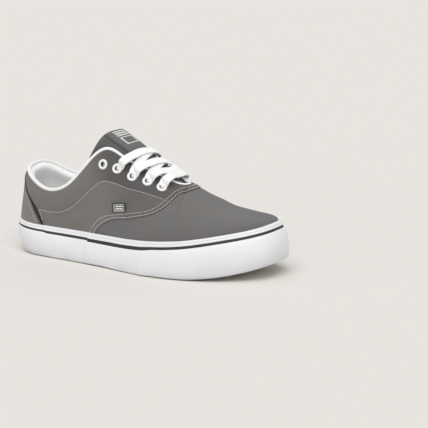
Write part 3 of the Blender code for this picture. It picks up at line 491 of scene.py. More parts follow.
def piece(name, points, faces, finishes, uv=None, kinds=None, values=None, angle=50):
    """One object from points in millimetres and lists of faces. uv is a pair of
    lengths in millimetres for each point, kinds the finish of each face, and
    values named numbers for each point that the finishes read."""
    mesh = bpy.data.meshes.new(name)
    listed = [list(dict.fromkeys(f)) for block in faces for f in np.asarray(block).tolist()]
    mesh.from_pydata(((np.asarray(points) + MOVE) / 1000).tolist(), [], listed)
    for finish in finishes:
        mesh.materials.append(finish)
    if kinds is not None:
        mesh.polygons.foreach_set("material_index", np.asarray(kinds, np.int32))
    if uv is not None:
        corner = np.empty(len(mesh.loops), np.int32)
        mesh.loops.foreach_get("vertex_index", corner)
        layer = mesh.uv_layers.new(name="lengths")
        layer.data.foreach_set("uv", (np.asarray(uv, float)[corner] / 1000).ravel())
    for key, value in (values or {}).items():
        numbers = mesh.attributes.new(key, "FLOAT", "POINT").data
        numbers.foreach_set("value", np.asarray(value, float).ravel())
    bm = bmesh.new()
    bm.from_mesh(mesh)
    bmesh.ops.recalc_face_normals(bm, faces=bm.faces)
    bm.to_mesh(mesh)
    bm.free()
    mesh.shade_smooth()
    mesh.set_sharp_from_angle(angle=np.radians(angle))
    obj = bpy.data.objects.new(name, mesh)
    bpy.context.scene.collection.objects.link(obj)
    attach(obj, "root")
    return obj


def closed_sheet(top, bottom, faces):
    """Points and faces of a sheet with both faces and a wall along every open
    edge. Points of the top that coincide become one, with those below them.
    The third result gives the first point that each one came from."""
    top, bottom = top.reshape(-1, 3), bottom.reshape(-1, 3)
    key = np.round(top / 0.02).astype(int)
    _, first, index = np.unique(key, axis=0, return_index=True, return_inverse=True)
    faces = index.reshape(-1)[faces]
    ends = np.concatenate([faces[:, [k, (k + 1) % 4]] for k in range(4)])
    ends = ends[ends[:, 0] != ends[:, 1]]
    _, back, count = np.unique(np.sort(ends, 1), axis=0, return_inverse=True, return_counts=True)
    rim = ends[count[back.reshape(-1)] == 1]
    n = len(first)
    walls = np.stack([rim[:, 1], rim[:, 0], rim[:, 0] + n, rim[:, 1] + n], -1)
    points = np.concatenate([top[first], bottom[first]])
    return points, [faces, faces[:, ::-1] + n, walls], np.concatenate([first, first])


def both_halves(s, w, top_out, bottom_out):
    """Grids of both halves of the upper: points of the two faces, the shares,
    and the faces. The two offsets are functions of side, s and w."""
    top, bottom, faces, places = [], [], [], []
    for k, side in enumerate((OUTER, INNER)):
        top.append(shell(side, s, w, top_out(side, s, w)).reshape(-1, 3))
        bottom.append(shell(side, s, w, bottom_out(side, s, w)).reshape(-1, 3))
        faces.append(quads(*s.shape, start=k * s.size))
        places.append(np.stack([np.full(s.size, side), s.ravel(), w.ravel()], -1))
    return (np.concatenate(part) for part in (top, bottom, faces, places))


def cloth_outside(blocks):
    """Finish of each face of a closed sheet: 0 outside and on the rim, 1 inside."""
    return np.concatenate([np.full(len(b), k) for b, k in zip(blocks, (0, 1, 0))])


def uv_of(places):
    """Lengths along and up the upper, mirrored on the inner side."""
    return np.stack([places[:, 0] * places[:, 1] * RUN, places[:, 2] * RISE], -1)


def stitched(s, w):
    """Grooves along all the rows of stitches."""
    rows = (ROW_BACK, ROW_FRONT, COLLAR_ROW, HEEL_ROW)
    return sum(dimple(distance_to(on_path(row, 60), s, w)) for row in rows)


def pad(s, w):
    """Swelling of the padded collar, between its stitches and the bound edge."""
    low = np.interp(s, COLLAR_ROW[:, 0], COLLAR_ROW[:, 1])
    t = np.clip((w - low) / (1 - low), 0, 1)
    return 1.5 * np.sin(np.pi * t) ** 0.8 * ease((0.42 - s) / 0.08)


def make_quarters():
    """The two quarters, one piece round the heel, on a grid of u along the shoe
    up to the seam's edge and w up the ribs: a cloth of two faces, swollen at the
    collar, its front edge rolled over and lying on the vamp."""
    w = np.concatenate([[-0.6, -0.2], np.linspace(0, 0.94, 50), [0.965, 0.985, 1.0]])
    foot = THROAT_SHARE / edge_share(1.0)
    u = np.concatenate([
        np.linspace(0, 0.90, 135), np.linspace(0.905, foot, 10), np.linspace(foot, 0.985, 8)[1:],
        [0.990, 0.994, 0.997, 0.999, 1.0],
    ])
    u, w = np.meshgrid(u, w, indexing="ij")
    s = u * edge_share(w)

    def away(s, w):
        return distance_to(SEAM_EDGE, s, w) * (edge_share(w) - s > 1e-6)

    def top_out(side, s, w):
        d = away(s, w)
        lap = 0.25 + (0.15 + 0.75 * ease((15 - d) / 9)) * rolled(d, 0.9)
        return lap + pad(s, w) + (stitched(s, w) + folds(side, s, w)) * ease(d / 2)

    def bottom_out(side, s, w):
        return -WALL + (WALL + 0.05) * ease((11 - away(s, w)) / 3)

    top, bottom, faces, places = both_halves(s, w, top_out, bottom_out)
    middle = top[faces].mean(1)
    for side in (OUTER, INNER):
        for k in range(len(EYELETS)):
            hole = eyelet_place(side, k)[0]
            keep = np.linalg.norm(middle - hole, axis=1) > 2.9
            faces, middle = faces[keep], middle[keep]
    points, blocks, first = closed_sheet(top, bottom, faces)
    s_of, w_of = places[first, 1], places[first, 2]
    above = ease((s_of - 0.36) / 0.09) * (w_of > np.interp(s_of, COLLAR_ROW[:, 0], COLLAR_ROW[:, 1]))
    darkening = np.maximum(above, 0.65 * ease((s_of - 0.38) / 0.14))
    obj = piece("quarters", points, blocks,
                [finish("twill_quarters", canvas, 0x7B7977), finish("lining_grey", lining)],
                uv_of(places[first]), cloth_outside(blocks), {"darker": darkening})
    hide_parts("upper", "vamp_seam")


def make_vamp():
    """The vamp and toe in one piece, on a grid of u from its back edge, which
    lies under the quarters, to the toe, and w up the ribs."""
    w = np.concatenate([[-0.6, -0.2], np.linspace(0, 1, 52)])
    u = np.concatenate([np.linspace(0, 0.2, 24), np.linspace(0.2, 1, 84)[1:]])
    u, w = np.meshgrid(u, w, indexing="ij")
    back = edge_share(w, -8.5)
    s = back + (1 - back) * u

    def top_out(side, s, w):
        shown = (s > edge_share(w)) * ease(distance_to(SEAM_EDGE, s, w) / 4)
        return folds(side, s, w) * shown * ease((1.001 - w) / 0.1)

    top, bottom, faces, places = both_halves(s, w, top_out, lambda side, s, w: np.full(s.shape, -WALL))
    points, blocks, first = closed_sheet(top, bottom, faces)
    obj = piece("vamp", points, blocks,
                [finish("twill_vamp", canvas, 0x737271), finish("lining_grey", lining)],
                uv_of(places[first]), cloth_outside(blocks), {"darker": np.zeros(len(points))})
    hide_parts("upper")


def make_lining():
    """Padded lining of the collar: thin at the foot, swelling to a roll just
    inside the bound edge, as ease(t) up to it and a quarter circle over it."""
    over = 0.80 + 0.20 * np.sin(np.linspace(0, np.pi / 2, 20))[1:]
    w = np.concatenate([np.linspace(-0.45, 0.80, 36), over])
    s = np.concatenate([np.linspace(0, 0.36, 80), np.linspace(0.36, 0.44, 22)[1:]])
    s, w = np.meshgrid(s, w, indexing="ij")

    def inside(side, s, w):
        roll = np.sqrt(np.clip(1 - (np.maximum(w - 0.91, 0) / 0.0905) ** 2, 0, 1))
        swell = 0.30 * ease((w - 0.15) / 0.45) + 0.70 * ease((w - 0.62) / 0.29)
        fade = ease((0.42 - s) / 0.07)
        rim = 0.9 * np.clip((0.44 - s) / 0.01, 0.2, 1)
        return -WALL - 0.1 - (rim + 4.4 * swell * fade) * roll

    top, bottom, faces, places = both_halves(s, w, lambda side, s, w: np.full(s.shape, -WALL - 0.05), inside)
    points, blocks, first = closed_sheet(top, bottom, faces)
    obj = piece("collar_lining", points, blocks, [finish("lining_grey", lining)],
                uv_of(places[first]))


def oval(count, across, low, high, power=2.5):
    """Corners of a superellipse section: x within across, y from low to high."""
    t = np.linspace(0, 2 * np.pi, count, endpoint=False)
    x = np.sign(np.cos(t)) * np.abs(np.cos(t)) ** (2 / power) * across
    y = np.sign(np.sin(t)) * np.abs(np.sin(t)) ** (2 / power)
    return np.stack([x, np.where(y > 0, y * high, y * low)], -1)


def swept(points, first, second, profile, closed):
    """Sections of a profile carried along points, on the two directions, the
    faces between them and fans over open ends, and lengths along and round."""
    profile = np.broadcast_to(profile, (len(points), *np.shape(profile)[-2:]))
    sections = points[:, None] + first[:, None] * profile[..., :1] + second[:, None] * profile[..., 1:]
    n, m = sections.shape[:2]
    faces = [quads(n, m, closed, True)]
    flat = sections.reshape(-1, 3)
    run = run_along(points)
    around_it = np.linalg.norm(profile[0] - np.roll(profile[0], 1, 0), axis=1).cumsum()
    uv = np.stack(np.meshgrid(run, around_it, indexing="ij"), -1).reshape(-1, 2)
    if not closed:
        flat = np.concatenate([flat, sections[[0, -1]].mean(1)])
        uv = np.concatenate([uv, [[0, 0], [run[-1], 0]]])
        j = np.arange(m)
        faces.append(np.stack([j, (j + 1) % m, np.full(m, n * m)], -1))
        faces.append(np.stack([(j + 1) % m, j, np.full(m, n * m + 1)], -1) + [(n - 1) * m, (n - 1) * m, 0])
    return flat, faces, uv


def skin_path(path, on_edge=False):
    """Points of a path [(side, s, w)] on the upper, its normals there and the
    directions in the surface square to it."""
    side, s, w = np.array(path, float).T
    points, normals = np.empty((len(s), 3)), np.empty((len(s), 3))
    for which in (OUTER, INNER):
        at = side == which
        points[at] = shell(which, s[at], w[at], -WALL / 2 if on_edge else 0)
        normals[at] = skin_frame(which, s[at], w[at])[0]
    go = np.roll(points, -1, 0) - np.roll(points, 1, 0) if on_edge else np.gradient(points, axis=0)
    return points, normals, unit(np.cross(normals, go))


def binding_line():
    """Centre of the bound edge all round the opening."""
    near = THROAT_SHARE - np.geomspace(0.05, 7e-4, 22)
    s = np.concatenate([np.linspace(0, THROAT_SHARE - 0.052, 190), near, [THROAT_SHARE]])
    trip = [(OUTER, a, 1.0) for a in s] + [(INNER, a, 1.0) for a in s[1:-1][::-1]]
    points, normals, cross = skin_path(trip, on_edge=True)
    return points + cross * (BINDING + GAP), normals, cross


def make_binding():
    """Tape folded over the edge of the opening: a superellipse section carried
    round it, taller than it is wide, so that it lies down both its faces."""
    points, out, up = binding_line()
    flat, faces, uv = swept(points, out, up, oval(20, 1.6, 2.7, 1.0, 2.8), closed=True)
    obj = piece("bound_edge", flat, faces, [finish("cotton_tape", cotton_tape)], uv)
    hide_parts("collar_binding")


def mirrored(path):
    """The same line of (s, w) on both sides."""
    return [[(side, s, w) for s, w in path] for side in (OUTER, INNER)]


def stitch_row(points, normals, pitch, long, thick):
    """Stitches along a path: each a spindle of five rings of six corners, its
    ends bent down into the cloth by the square of the distance from its middle."""
    run = run_along(points)
    at = np.arange(pitch / 2, run[-1], pitch)
    centres, up = columns_at(at, run, points), unit(columns_at(at, run, normals))
    go = unit(columns_at(at + 0.3, run, points) - columns_at(at - 0.3, run, points))
    cross = np.cross(up, go)
    x = np.array([-1, -0.7, 0, 0.7, 1])
    size = np.array([0.25, 0.8, 1, 0.8, 0.25]) * thick
    turn = np.linspace(0, 2 * np.pi, 6, endpoint=False)
    local_x = np.repeat(x * long / 2, 6)
    local_y = (size[:, None] * np.cos(turn)).ravel()
    local_z = (size[:, None] * np.sin(turn) - 0.55 * thick * x[:, None] ** 2).ravel()
    points = centres[:, None] + go[:, None] * local_x[:, None] + cross[:, None] * local_y[:, None]
    points = points + up[:, None] * local_z[:, None]
    count = len(at)
    side = np.concatenate([quads(5, 6, False, True, start=30 * k) for k in range(count)])
    ends = np.concatenate([np.array([np.arange(6), np.arange(24, 30)]) + 30 * k for k in range(count)])
    return points.reshape(-1, 3), [side, ends]


def make_stitches():
    """All the thread of the upper, in one mesh of small spindles."""
    rows = []
    for row, height, pitch, thick in (
        (ROW_BACK, 1.08, 2.9, 0.50),
        (ROW_FRONT, 1.05, 2.9, 0.58),
        (COLLAR_ROW, 0.5, 2.7, 0.50),
        (HEEL_ROW, 0.5, 2.7, 0.50),
        (COUNTER_ROW, COUNTER_HIGH + 0.05, 3.0, 0.45),
    ):
        for path in mirrored(on_path(row, 120)):
            points, normals, _ = skin_path(path)
            rows.append(stitch_row(points + normals * height, normals, pitch, 1.9, thick))
    flat, faces, start = [], [], 0
    for points, blocks in rows:
        flat.append(points)
        faces += [block + start for block in blocks]
        start += len(points)
    piece("stitches", np.concatenate(flat), faces, [finish("thread_grey", thread)])


def make_heel():
    """Heel counter, a second layer with rolled edges on a grid of k across and
    the piping's line downwards, and the piping, an oval carried over its edge."""
    k = np.linspace(-1, 1, 101)
    path = on_path(PIPING, 60)
    path = path[path[:, 0] > 0.004]
    w = np.maximum(path[:, 1] - 0.035, 0.0)
    s = np.abs(k)[None, :] * (path[:, 0] - 0.009)[:, None]
    w = np.broadcast_to(w[:, None], s.shape)
    from_edge = (1 - np.abs(k))[None, :] * (path[:, 0] * RUN)[:, None]
    from_top = np.broadcast_to(np.arange(len(path))[:, None] * 0.9, w.shape)
    row = dimple(distance_to(on_path(COUNTER_ROW, 60), s, w), 1.2, 0.25)
    roll = rolled(np.minimum(from_edge, from_top), 1.2)
    high = COUNTER_LOW + (COUNTER_HIGH - COUNTER_LOW + row) * roll
    top, bottom = np.empty((*s.shape, 3)), np.empty((*s.shape, 3))
    for side, at in ((OUTER, k <= 0), (INNER, k > 0)):
        top[:, at] = shell(side, s[:, at], w[:, at], high[:, at])
        bottom[:, at] = shell(side, s[:, at], w[:, at], 0.2)
    points, blocks, first = closed_sheet(top, bottom, quads(*s.shape))
    uv = np.stack([(s * np.sign(k) * RUN).ravel(), (w * RISE).ravel()], -1)[first]
    obj = piece("heel_cloth", points, blocks, [finish("twill_heel", canvas, 0x85827E)],
                uv, values={"darker": np.zeros(len(points))})
    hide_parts("heel_counter")

    path = on_path(PIPING, 120)
    trip = [(OUTER, s, w) for s, w in path[::-1]] + [(INNER, s, w) for s, w in path[1:]]
    points, normals, cross = skin_path(trip)
    section = oval(10, 1.15, 1.1, 1.1, 2.2)
    flat, faces, uv = swept(points + normals * 1.25, cross, normals, section, closed=False)
    obj = piece("piping", flat, faces, [finish("piping_cloth", dark_cord)], uv)
    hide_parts("counter_piping")


def tongue_place(q, v, out=0.0):
    """Front surface of the tongue: q from its hidden foot (0) to its top (1), v
    across from -1 (outer) to 1 (inner). Its bend is an arc that turns into a
    superellipse near the top, so that it has a flat front and two corners, and
    the wings beyond them reach further round."""
    k = np.linspace(0, 1, len(TONGUE))
    q, v = np.broadcast_arrays(np.asarray(q, float), np.asarray(v, float))
    x, z, radius, half = (smooth(k, TONGUE[:, c], q) for c in range(4))
    e = 1e-3
    dx = smooth(k, TONGUE[:, 0], q + e) - smooth(k, TONGUE[:, 0], q - e)
    dz = smooth(k, TONGUE[:, 1], q + e) - smooth(k, TONGUE[:, 1], q - e)
    size = np.hypot(dx, dz)
    up_x, up_z = dz / size, -dx / size
    wing = 0.45 * np.maximum(np.abs(v) - 0.6, 0) / 0.4 * ease((q - 0.6) / 0.3)
    angle = v * half / radius * (1 + wing)
    power = 3.4
    square = (np.abs(np.cos(angle)) ** power + np.abs(np.sin(angle)) ** power) ** (-1 / power)
    stretch = 1 + (square - 1) * ease((q - 0.45) / 0.35)
    inner_radius = (radius - TONGUE_UNDER + out) * stretch
    rise = inner_radius * np.cos(angle) - radius
    return np.stack([
        x + 1.22 * up_x * rise,
        centre(x) * 0.9 + inner_radius * np.sin(angle),
        z + spring(x) + up_z * rise,
    ], -1)


def make_tongue():
    """Padded tongue: each section across it is a closed lens, its edges rounded
    by (1 - v^6), and the top edge rounded by a quarter circle."""
    k = np.linspace(0, 1, len(TONGUE))
    over = 0.95 + 0.05 * np.sin(np.linspace(0, np.pi / 2, 12))[1:]
    q = np.concatenate([np.linspace(0, 0.95, 90), over])
    v = np.sin(np.linspace(-np.pi / 2, np.pi / 2, 121))
    q, v = np.meshgrid(q, v, indexing="ij")
    thick = smooth(k, TONGUE[:, 4], q)
    top_round = np.sqrt(np.clip(1 - ((np.clip(q, 0.95, 1) - 0.95) / 0.05) ** 2, 0.0, 1))
    lens = (1 - np.abs(v) ** 6) * top_round
    from_fold = np.abs(np.abs(v) - FOLD_SHARE) * LABEL_WIDE
    from_hem = np.abs(np.abs(v) - 0.92) * LABEL_WIDE
    row = dimple(from_fold, 0.9, 0.6) * ease((q - 0.45) / 0.2) + dimple(from_hem, 1.2, 0.4)
    front = tongue_place(q, v, -0.5 * thick * (1 - lens) * 0.6 + row * top_round)
    back = tongue_place(q, v, -1.2 - 0.5 * thick * (1 - lens) * 0.6 - (thick - 0.3) * lens)
    # painted shade: darkest in the crease along the fold, a little darker on the wings beyond it, which turn
    # from the light
    dark = np.where(from_fold < 0.9, 1.6, 0.25 * (np.abs(v) > FOLD_SHARE))
    points, blocks, first = closed_sheet(front, back, quads(*q.shape))
    uv = np.stack([(v * LABEL_WIDE).ravel(), (q * TONGUE_LONG).ravel()], -1)[first]
    obj = piece("tongue_cloth", points, blocks,
                [finish("twill_tongue", canvas, 0x68686A)], uv, values={"darker": dark.ravel()[first]})
    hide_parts("tongue")


def make_label():
    """Woven label sewn flat on the tongue: its surface moved out, less near the
    rolled edges, with bars and a thin rectangle by distances a down and b across."""
    q, v = np.meshgrid(np.linspace(LABEL_FOOT, LABEL_TOP, 130), np.linspace(-0.5, 0.5, 90), indexing="ij")
    a, b = (LABEL_TOP - q) * TONGUE_LONG, (v + 0.5) * LABEL_WIDE
    edge = np.minimum(np.minimum(a, LABEL_LONG - a), np.minimum(b, LABEL_WIDE - b))
    top = tongue_place(q, v, 0.1 + 0.55 * rolled(edge, 0.8))
    points, blocks, first = closed_sheet(top, tongue_place(q, v), quads(*q.shape))
    print_of = np.zeros(q.shape)
    for low, high in ((3.2, 5.4), (7.2, 9.4), (11.2, 13.4)):
        print_of[(a > low) & (a < high) & (b > 6) & (b < 29)] = 1
    border = np.maximum(np.abs(a - 22.5) / 6.5, np.abs(b - 17.5) / 11.5)
    print_of[(border > 0.82) & (border < 1)] = 1
    uv = np.stack([(v * LABEL_WIDE).ravel(), (q * TONGUE_LONG).ravel()], -1)[first]
    obj = piece("label_cloth", points, blocks,
                [finish("damask_label", woven_label, 0x6F6F70)], uv,
                values={"light": print_of.ravel()[first]})
    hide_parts("tongue_label")


def make_tag():
    """Folded flag on the outer side: a sheet doubled over, its ends curling away
    by the square of the distance, marked with two bars and a thin rectangle."""
    point, (normal, up) = rib(OUTER, *TAG), skin_frame(OUTER, *TAG)
    go = np.cross(up, normal)
    go = go * np.sign(go[0])
    a, b = np.meshgrid(np.linspace(-1, 1, 50), np.linspace(0, 1, 26), indexing="ij")
    curl = 1.1 * np.clip((a - 0.35) / 0.65, 0, 1) ** 2 + 0.5 * np.clip((-a - 0.6) / 0.4, 0, 1) ** 2
    bend = 0.010 * (a * TAG_WIDE / 2) ** 2
    edge = np.minimum((1 - np.abs(a)) * TAG_WIDE / 2, np.minimum(b, 1 - b) * TAG_TALL)
    base = point + go * (a * TAG_WIDE / 2)[..., None] + up * (b * TAG_TALL - 0.5)[..., None]
    lift = (0.9 + bend + curl * (0.3 + 0.7 * b))[..., None]
    top = base + normal * (lift + 0.75 * rolled(edge, 0.6)[..., None] + 0.25)
    bottom = base + normal * (lift - 0.2)
    marks = np.zeros(a.shape)
    for centre_b in (0.34, 0.62):
        marks[(np.abs(b - centre_b) < 0.07) & (np.abs(a - 0.06) < 0.56)] = 1
    border = np.maximum(np.abs(a - 0.06) / 0.80, np.abs(b - 0.48) / 0.40)
    marks[(border > 0.88) & (border < 1)] = 1
    points, blocks, first = closed_sheet(top, bottom, quads(*a.shape))
    uv = np.stack([(a * TAG_WIDE / 2).ravel(), (b * TAG_TALL).ravel()], -1)[first]
    obj = piece("tag_cloth", points, blocks,
                [finish("damask_tag", woven_label, 0x434348)], uv, values={"light": marks.ravel()[first]})
    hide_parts("side_tag")


def eyelet_place(side, k):
    """Point, normal and direction up the rib of eyelet k."""
    s, w = EYELETS[k]
    normal, up = skin_frame(side, s, w)
    return rib(side, s, w), normal, up


def make_eyelets():
    """Enamelled eyelets: a rounded flange and a barrel through the cloth, the
    profile (radius, height) turned round each eyelet's axis."""
    profile = np.array([
        (5.10, 0.35), (5.15, 0.75), (5.00, 1.15), (4.60, 1.55), (4.05, 1.80), (3.45, 1.85),
        (2.95, 1.70), (2.60, 1.35), (2.40, 0.80), (2.32, 0.10), (2.30, -2.40), (2.90, -2.90),
        (3.30, -2.60), (2.75, -2.20), (2.75, 0.10),
    ])
    turn = np.linspace(0, 2 * np.pi, 40, endpoint=False)
    flat, faces, start = [], [], 0
    for side in (OUTER, INNER):
        for k in range(len(EYELETS)):
            point, normal, up = eyelet_place(side, k)
            cross = np.cross(up, normal)
            ring = np.cos(turn)[:, None] * cross + np.sin(turn)[:, None] * up
            flat.append(point + ring[:, None] * profile[None, :, :1] + normal * profile[None, :, 1:])
            faces.append(quads(40, len(profile), True, True, start=start))
            start += 40 * len(profile)
    points = np.concatenate([f.reshape(-1, 3) for f in flat])
    # the inside of the barrel and the cup under it take the nearly black painted shade
    kinds = np.tile((np.arange(len(profile)) > 7).astype(int), 40 * 2 * len(EYELETS))
    obj = piece("eyelets", points, faces,
                [finish("white_enamel", enamel), finish("eyelet_hole_shade", painted_hole_shade)], kinds=kinds)
    numbers = range(1, len(EYELETS) + 1)
    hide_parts(*[f"eyelet_{name}_{k}" for name in ("outer", "inner") for k in numbers])


def cover_points():
    """What the laces lie on: tongue, upper beside the throat, bound edge and
    eyelets, as a cloud of points."""
    q, v = np.meshgrid(np.linspace(0, 1, 120), np.linspace(-1, 1, 81), indexing="ij")
    clouds = [tongue_place(q, v, 0.8).reshape(-1, 3)]
    angle = np.linspace(0, 2 * np.pi, 25)[:, None]
    for side in (OUTER, INNER):
        s = np.linspace(0.42, THROAT_SHARE + 0.03, 70)
        s, w = np.meshgrid(s, np.linspace(0.7, 1, 24), indexing="ij")
        clouds.append(shell(side, s, w, 0.4).reshape(-1, 3))
        for k in range(1, len(EYELETS)):
            point, normal, up = eyelet_place(side, k)
            turn = np.cos(angle) * up + np.sin(angle) * np.cross(normal, up)
            clouds.append(point + normal * 1.9 + 4.6 * turn)
    points, out, up = binding_line()
    for turn in np.linspace(0, np.pi, 5):
        clouds.append(points + (out * np.cos(turn) + up * np.sin(turn)) * 1.7)
    return np.concatenate(clouds)


def height_over(base, up, run, cover):
    """How far the cover stands above base along up, under the lace's width."""
    go = unit(run - up * (run @ up))
    cross = np.cross(up, go)
    d = cover - base
    near = (np.abs(d @ go) < 2.5) & (np.abs(d @ cross) < LACE_WIDTH / 2)
    near &= np.abs(d @ up) < 30
    return float((d[near] @ up).max()) if near.any() else 0.0


def hull_line(run, z):
    """The tight upper line over the points (run, z)."""
    keep = []
    for i in range(len(run)):
        while len(keep) > 1:
            a, b = keep[-2:]
            if (z[b] - z[a]) * (run[i] - run[a]) > (z[i] - z[a]) * (run[b] - run[a]):
                break
            keep.pop()
        keep.append(i)
    return np.interp(run, run[keep], z[keep])


def lace_strand(side, k, far, reach, cover):
    """One strand: up out of its eyelet, over the ring, flat across the tongue
    on a tight line over what lies below, and down under the far edge, or into
    the far eyelet. Width and thickness follow ease() from the hole outwards."""
    start, start_normal, _ = eyelet_place(side, k)
    end, end_normal, _ = eyelet_place(-side, far)
    t = np.linspace(0.075, min(reach, 0.925), 22)
    base = start + (end - start) * t[:, None]
    blend = np.array([0.55, 0, 0.9]) * np.sin(np.pi * t)[:, None]
    up = unit(start_normal * (1 - t[:, None]) + end_normal * t[:, None] + blend)
    need = np.array([height_over(p, u, end - start, cover) for p, u in zip(base, up)])
    length = np.linalg.norm(end - start)
    lift = hull_line(t * length, need) + LACE_THICK / 2 + 0.2 + (LACE_STACK if side == OUTER else 0)
    lift[0] = 2.9
    if reach == 1:
        lift[-1] = 2.9
    lift = lift + 2.4 * np.exp(-(((t * length - 9) / 6) ** 2))
    middle = base + up * lift[:, None]
    away = unit(end - start)
    before = [start - start_normal * 2.6 - away * 0.2, start + away * 0.6 + start_normal * 0.4]
    if reach == 1:
        after = [end - away * 0.6 + end_normal * 0.4, end - end_normal * 2.6 + away * 0.2]
    else:
        after = [middle[-1] + away * 2.5 - up[-1] * 2.2, middle[-1] + away * 5.0 - up[-1] * 5.0]
    knots = np.concatenate([before, middle, after])
    last = up[-1] if reach < 1 else away + 0.3 * end_normal
    ups = np.concatenate([[-away + 0.3 * start_normal] * 2, up, [last] * 2])
    run = run_along(knots)
    even = np.linspace(0, run[-1], 90)
    points = np.stack([smooth(run, knots[:, c], even) for c in range(3)], -1)
    up = columns_at(even, run, ups)
    for _ in range(2):
        points[1:-1] = (points[:-2] + 2 * points[1:-1] + points[2:]) / 4
    go = unit(np.gradient(points, axis=0))
    up = unit(up - go * (up * go).sum(1, keepdims=True))
    grow = ease((even - 2.6) / 3.5)
    if reach == 1:
        grow = grow * ease((run[-1] - even - 2.6) / 3.5)
    half = 2.0 + (LACE_WIDTH / 2 - 2.0) * grow
    thick = 1.15 + (LACE_THICK / 2 + 0.3 - 1.15) * grow
    shape = oval(20, 1.0, 1.0, 1.0, 3.2)
    profile = np.stack([shape[None, :, 0] * half[:, None], shape[None, :, 1] * thick[:, None]], -1)
    return points, np.cross(up, go), up, profile


def make_laces():
    """Four pairs of eyelets laced crosswise, with a bar at the lowest pair."""
    cover = cover_points()
    flat, faces, uvs, start = [], [], [], 0
    runs = [(side, k, k + 1, 0.88) for k in (1, 2, 3) for side in (INNER, OUTER)]
    runs.append((OUTER, 4, 4, 1.0))
    for side, k, far, reach in runs:
        points, blocks, uv = swept(*lace_strand(side, k, far, reach, cover), closed=False)
        flat.append(points)
        faces += [block + start for block in blocks]
        uvs.append(uv)
        start += len(points)
    obj = piece("flat_laces", np.concatenate(flat), faces, [finish("lace_yarn", lace)],
                np.concatenate(uvs))
    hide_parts("laces")


def stripe_line(s):
    """Depth of the dark line's top below the tape's top, and its height: it is
    lower and thicker between the tape's joint and the toe bumper."""
    step = ease((s - TAPE_JOINT) / 0.003) * (1 - ease((s - BUMPER_START + 0.01) / 0.05))
    first = ease((s - HEEL_JOINT) / 0.003)
    at = [0, 0.2, 0.5, 0.62, 0.8, 1.0]
    deep = np.interp(s, at, [4.3, 4.4, 4.6, 4.6, 4.0, 3.6])
    tall = np.interp(s, at, [1.7, 1.8, 2.0, 1.9, 1.9, 1.7])
    return deep + 0.5 * step + 0.4 * first, tall + 1.1 * step + 0.35 * first * (1 - step)


def ring_places(count):
    """Places (side, s) all round the sole, closer round heel and toe and at the
    joints of the bands."""
    s = np.linspace(0, 1, count + 1)
    s = s - 0.1 * np.sin(2 * np.pi * s) / (2 * np.pi)
    steps = np.array([-0.0010, 0.0, 0.0015, 0.0030])
    s = np.sort(np.concatenate([s, HEEL_JOINT + steps, TAPE_JOINT + steps]))
    return (OUTER, s), (INNER, s[1:-1][::-1])


def ring_sections(section, count=300):
    """Sections of a function of (side, s) carried all round the sole."""
    blocks = []
    for side, s in ring_places(count):
        blocks.append(np.stack([np.broadcast_to(p, (len(s), 3)) for p in section(side, s)], 1))
    return np.concatenate(blocks)


def tape(name, finish, section, stands_for, down):
    """A band of rubber round the whole sole from its section. down gives each
    corner of the section its share of the way down the side."""
    sections = ring_sections(section)
    n, m = sections.shape[:2]
    run = run_along(sections[:, 0])
    uv = np.stack(np.meshgrid(run, np.arange(m) * 3.0, indexing="ij"), -1).reshape(-1, 2)
    values = {"down": np.broadcast_to(np.array(down), (n, m))}
    obj = piece(name, sections.reshape(-1, 3), [quads(n, m, True, True)], [finish], uv, values=values)
    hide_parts(stands_for)


def at_height(side, s, z, out):
    """side_wall at shares s of one side."""
    return side_wall(side, s, z, np.broadcast_to(out, s.shape))


def make_tapes():
    """The three bands round the side, each a section carried round the sole."""
    def bumps(s):
        """Laps of the tape: a step and a narrow groove at its joint, and slow waves."""
        lap = 0.45 * (ease((s - TAPE_JOINT) / 0.002) - ease((s - TAPE_JOINT) / 0.10))
        groove = 0.3 * np.exp(-(((s - TAPE_JOINT + 0.0005) * RUN / 0.5) ** 2))
        return lap - groove + 0.12 * np.sin(s * 61) * np.sin(s * 23 + 1)

    def foxing(side, s):
        """Wide band: share of its height and how far it stands out, then its back."""
        x = outline(side, s)[0][..., 0]
        deep, tall = stripe_line(s)
        low, high = floor_z(x) + FOXING_LIFT, top_z(x) - deep - tall - 0.05
        recess = BUMPER_THICK * bumper_cover(s)
        face = [(0, -1.2), (0.01, -0.5), (0.035, -0.1), (0.08, 0), (0.3, 0.05), (0.5, 0.08),
                (0.7, 0.05), (0.9, 0), (0.96, -0.1), (0.99, -0.45), (1, -1.0)]
        back = [(q, recess - TAPE) for q in (1, 0.5, 0)]
        stand = bumps(s) - recess
        return [at_height(side, s, low + (high - low) * q, out + stand) for q, out in face + back]

    def pinstripe(side, s):
        """Dark line: a shallow round groove between the two white bands."""
        top = top_z(outline(side, s)[0][..., 0])
        deep, tall = stripe_line(s)
        corners = [(1, TAPE), (1, 0.75), (0.85, 0.42), (0.5, 0.35), (0.15, 0.42), (0, 0.75), (0, TAPE)]
        return [at_height(side, s, top - deep - tall * q, -depth) for q, depth in corners]

    def strip(side, s):
        """Narrow band: a thick ridge, a fine groove and a thin ridge above it."""
        x = outline(side, s)[0][..., 0]
        high = top_z(x)
        low = high - stripe_line(s)[0]
        face = [(0, -0.7), (0.03, -0.2), (0.10, 0.15), (0.25, 0.3), (0.40, 0.2), (0.46, -0.12),
                (0.50, -0.3), (0.54, -0.12), (0.62, 0.12), (0.74, 0.2), (0.86, 0.1), (0.95, -0.2),
                (1, -0.8)]
        back = [(1, -TAPE), (0, -TAPE)]
        return [at_height(side, s, low + (high - low) * q, out + bumps(s)) for q, out in face + back]

    white, dark = finish("vulcanised_white", rubber, 0xF1F2F5), finish("vulcanised_dark", rubber, 0x343534)
    # shares down the side, which the rubber's finish greys with painted shade
    down = [1, 1, 0.97, 0.92, 0.7, 0.5, 0.3, 0.1, 0, 0, 0, 0, 0.5, 1]
    tape("foxing_band", white, foxing, "foxing", down)
    tape("dark_line", dark, pinstripe, "pinstripe", [0] * 7)
    tape("ridged_strip", white, strip, "top_strip", [0] * 15)


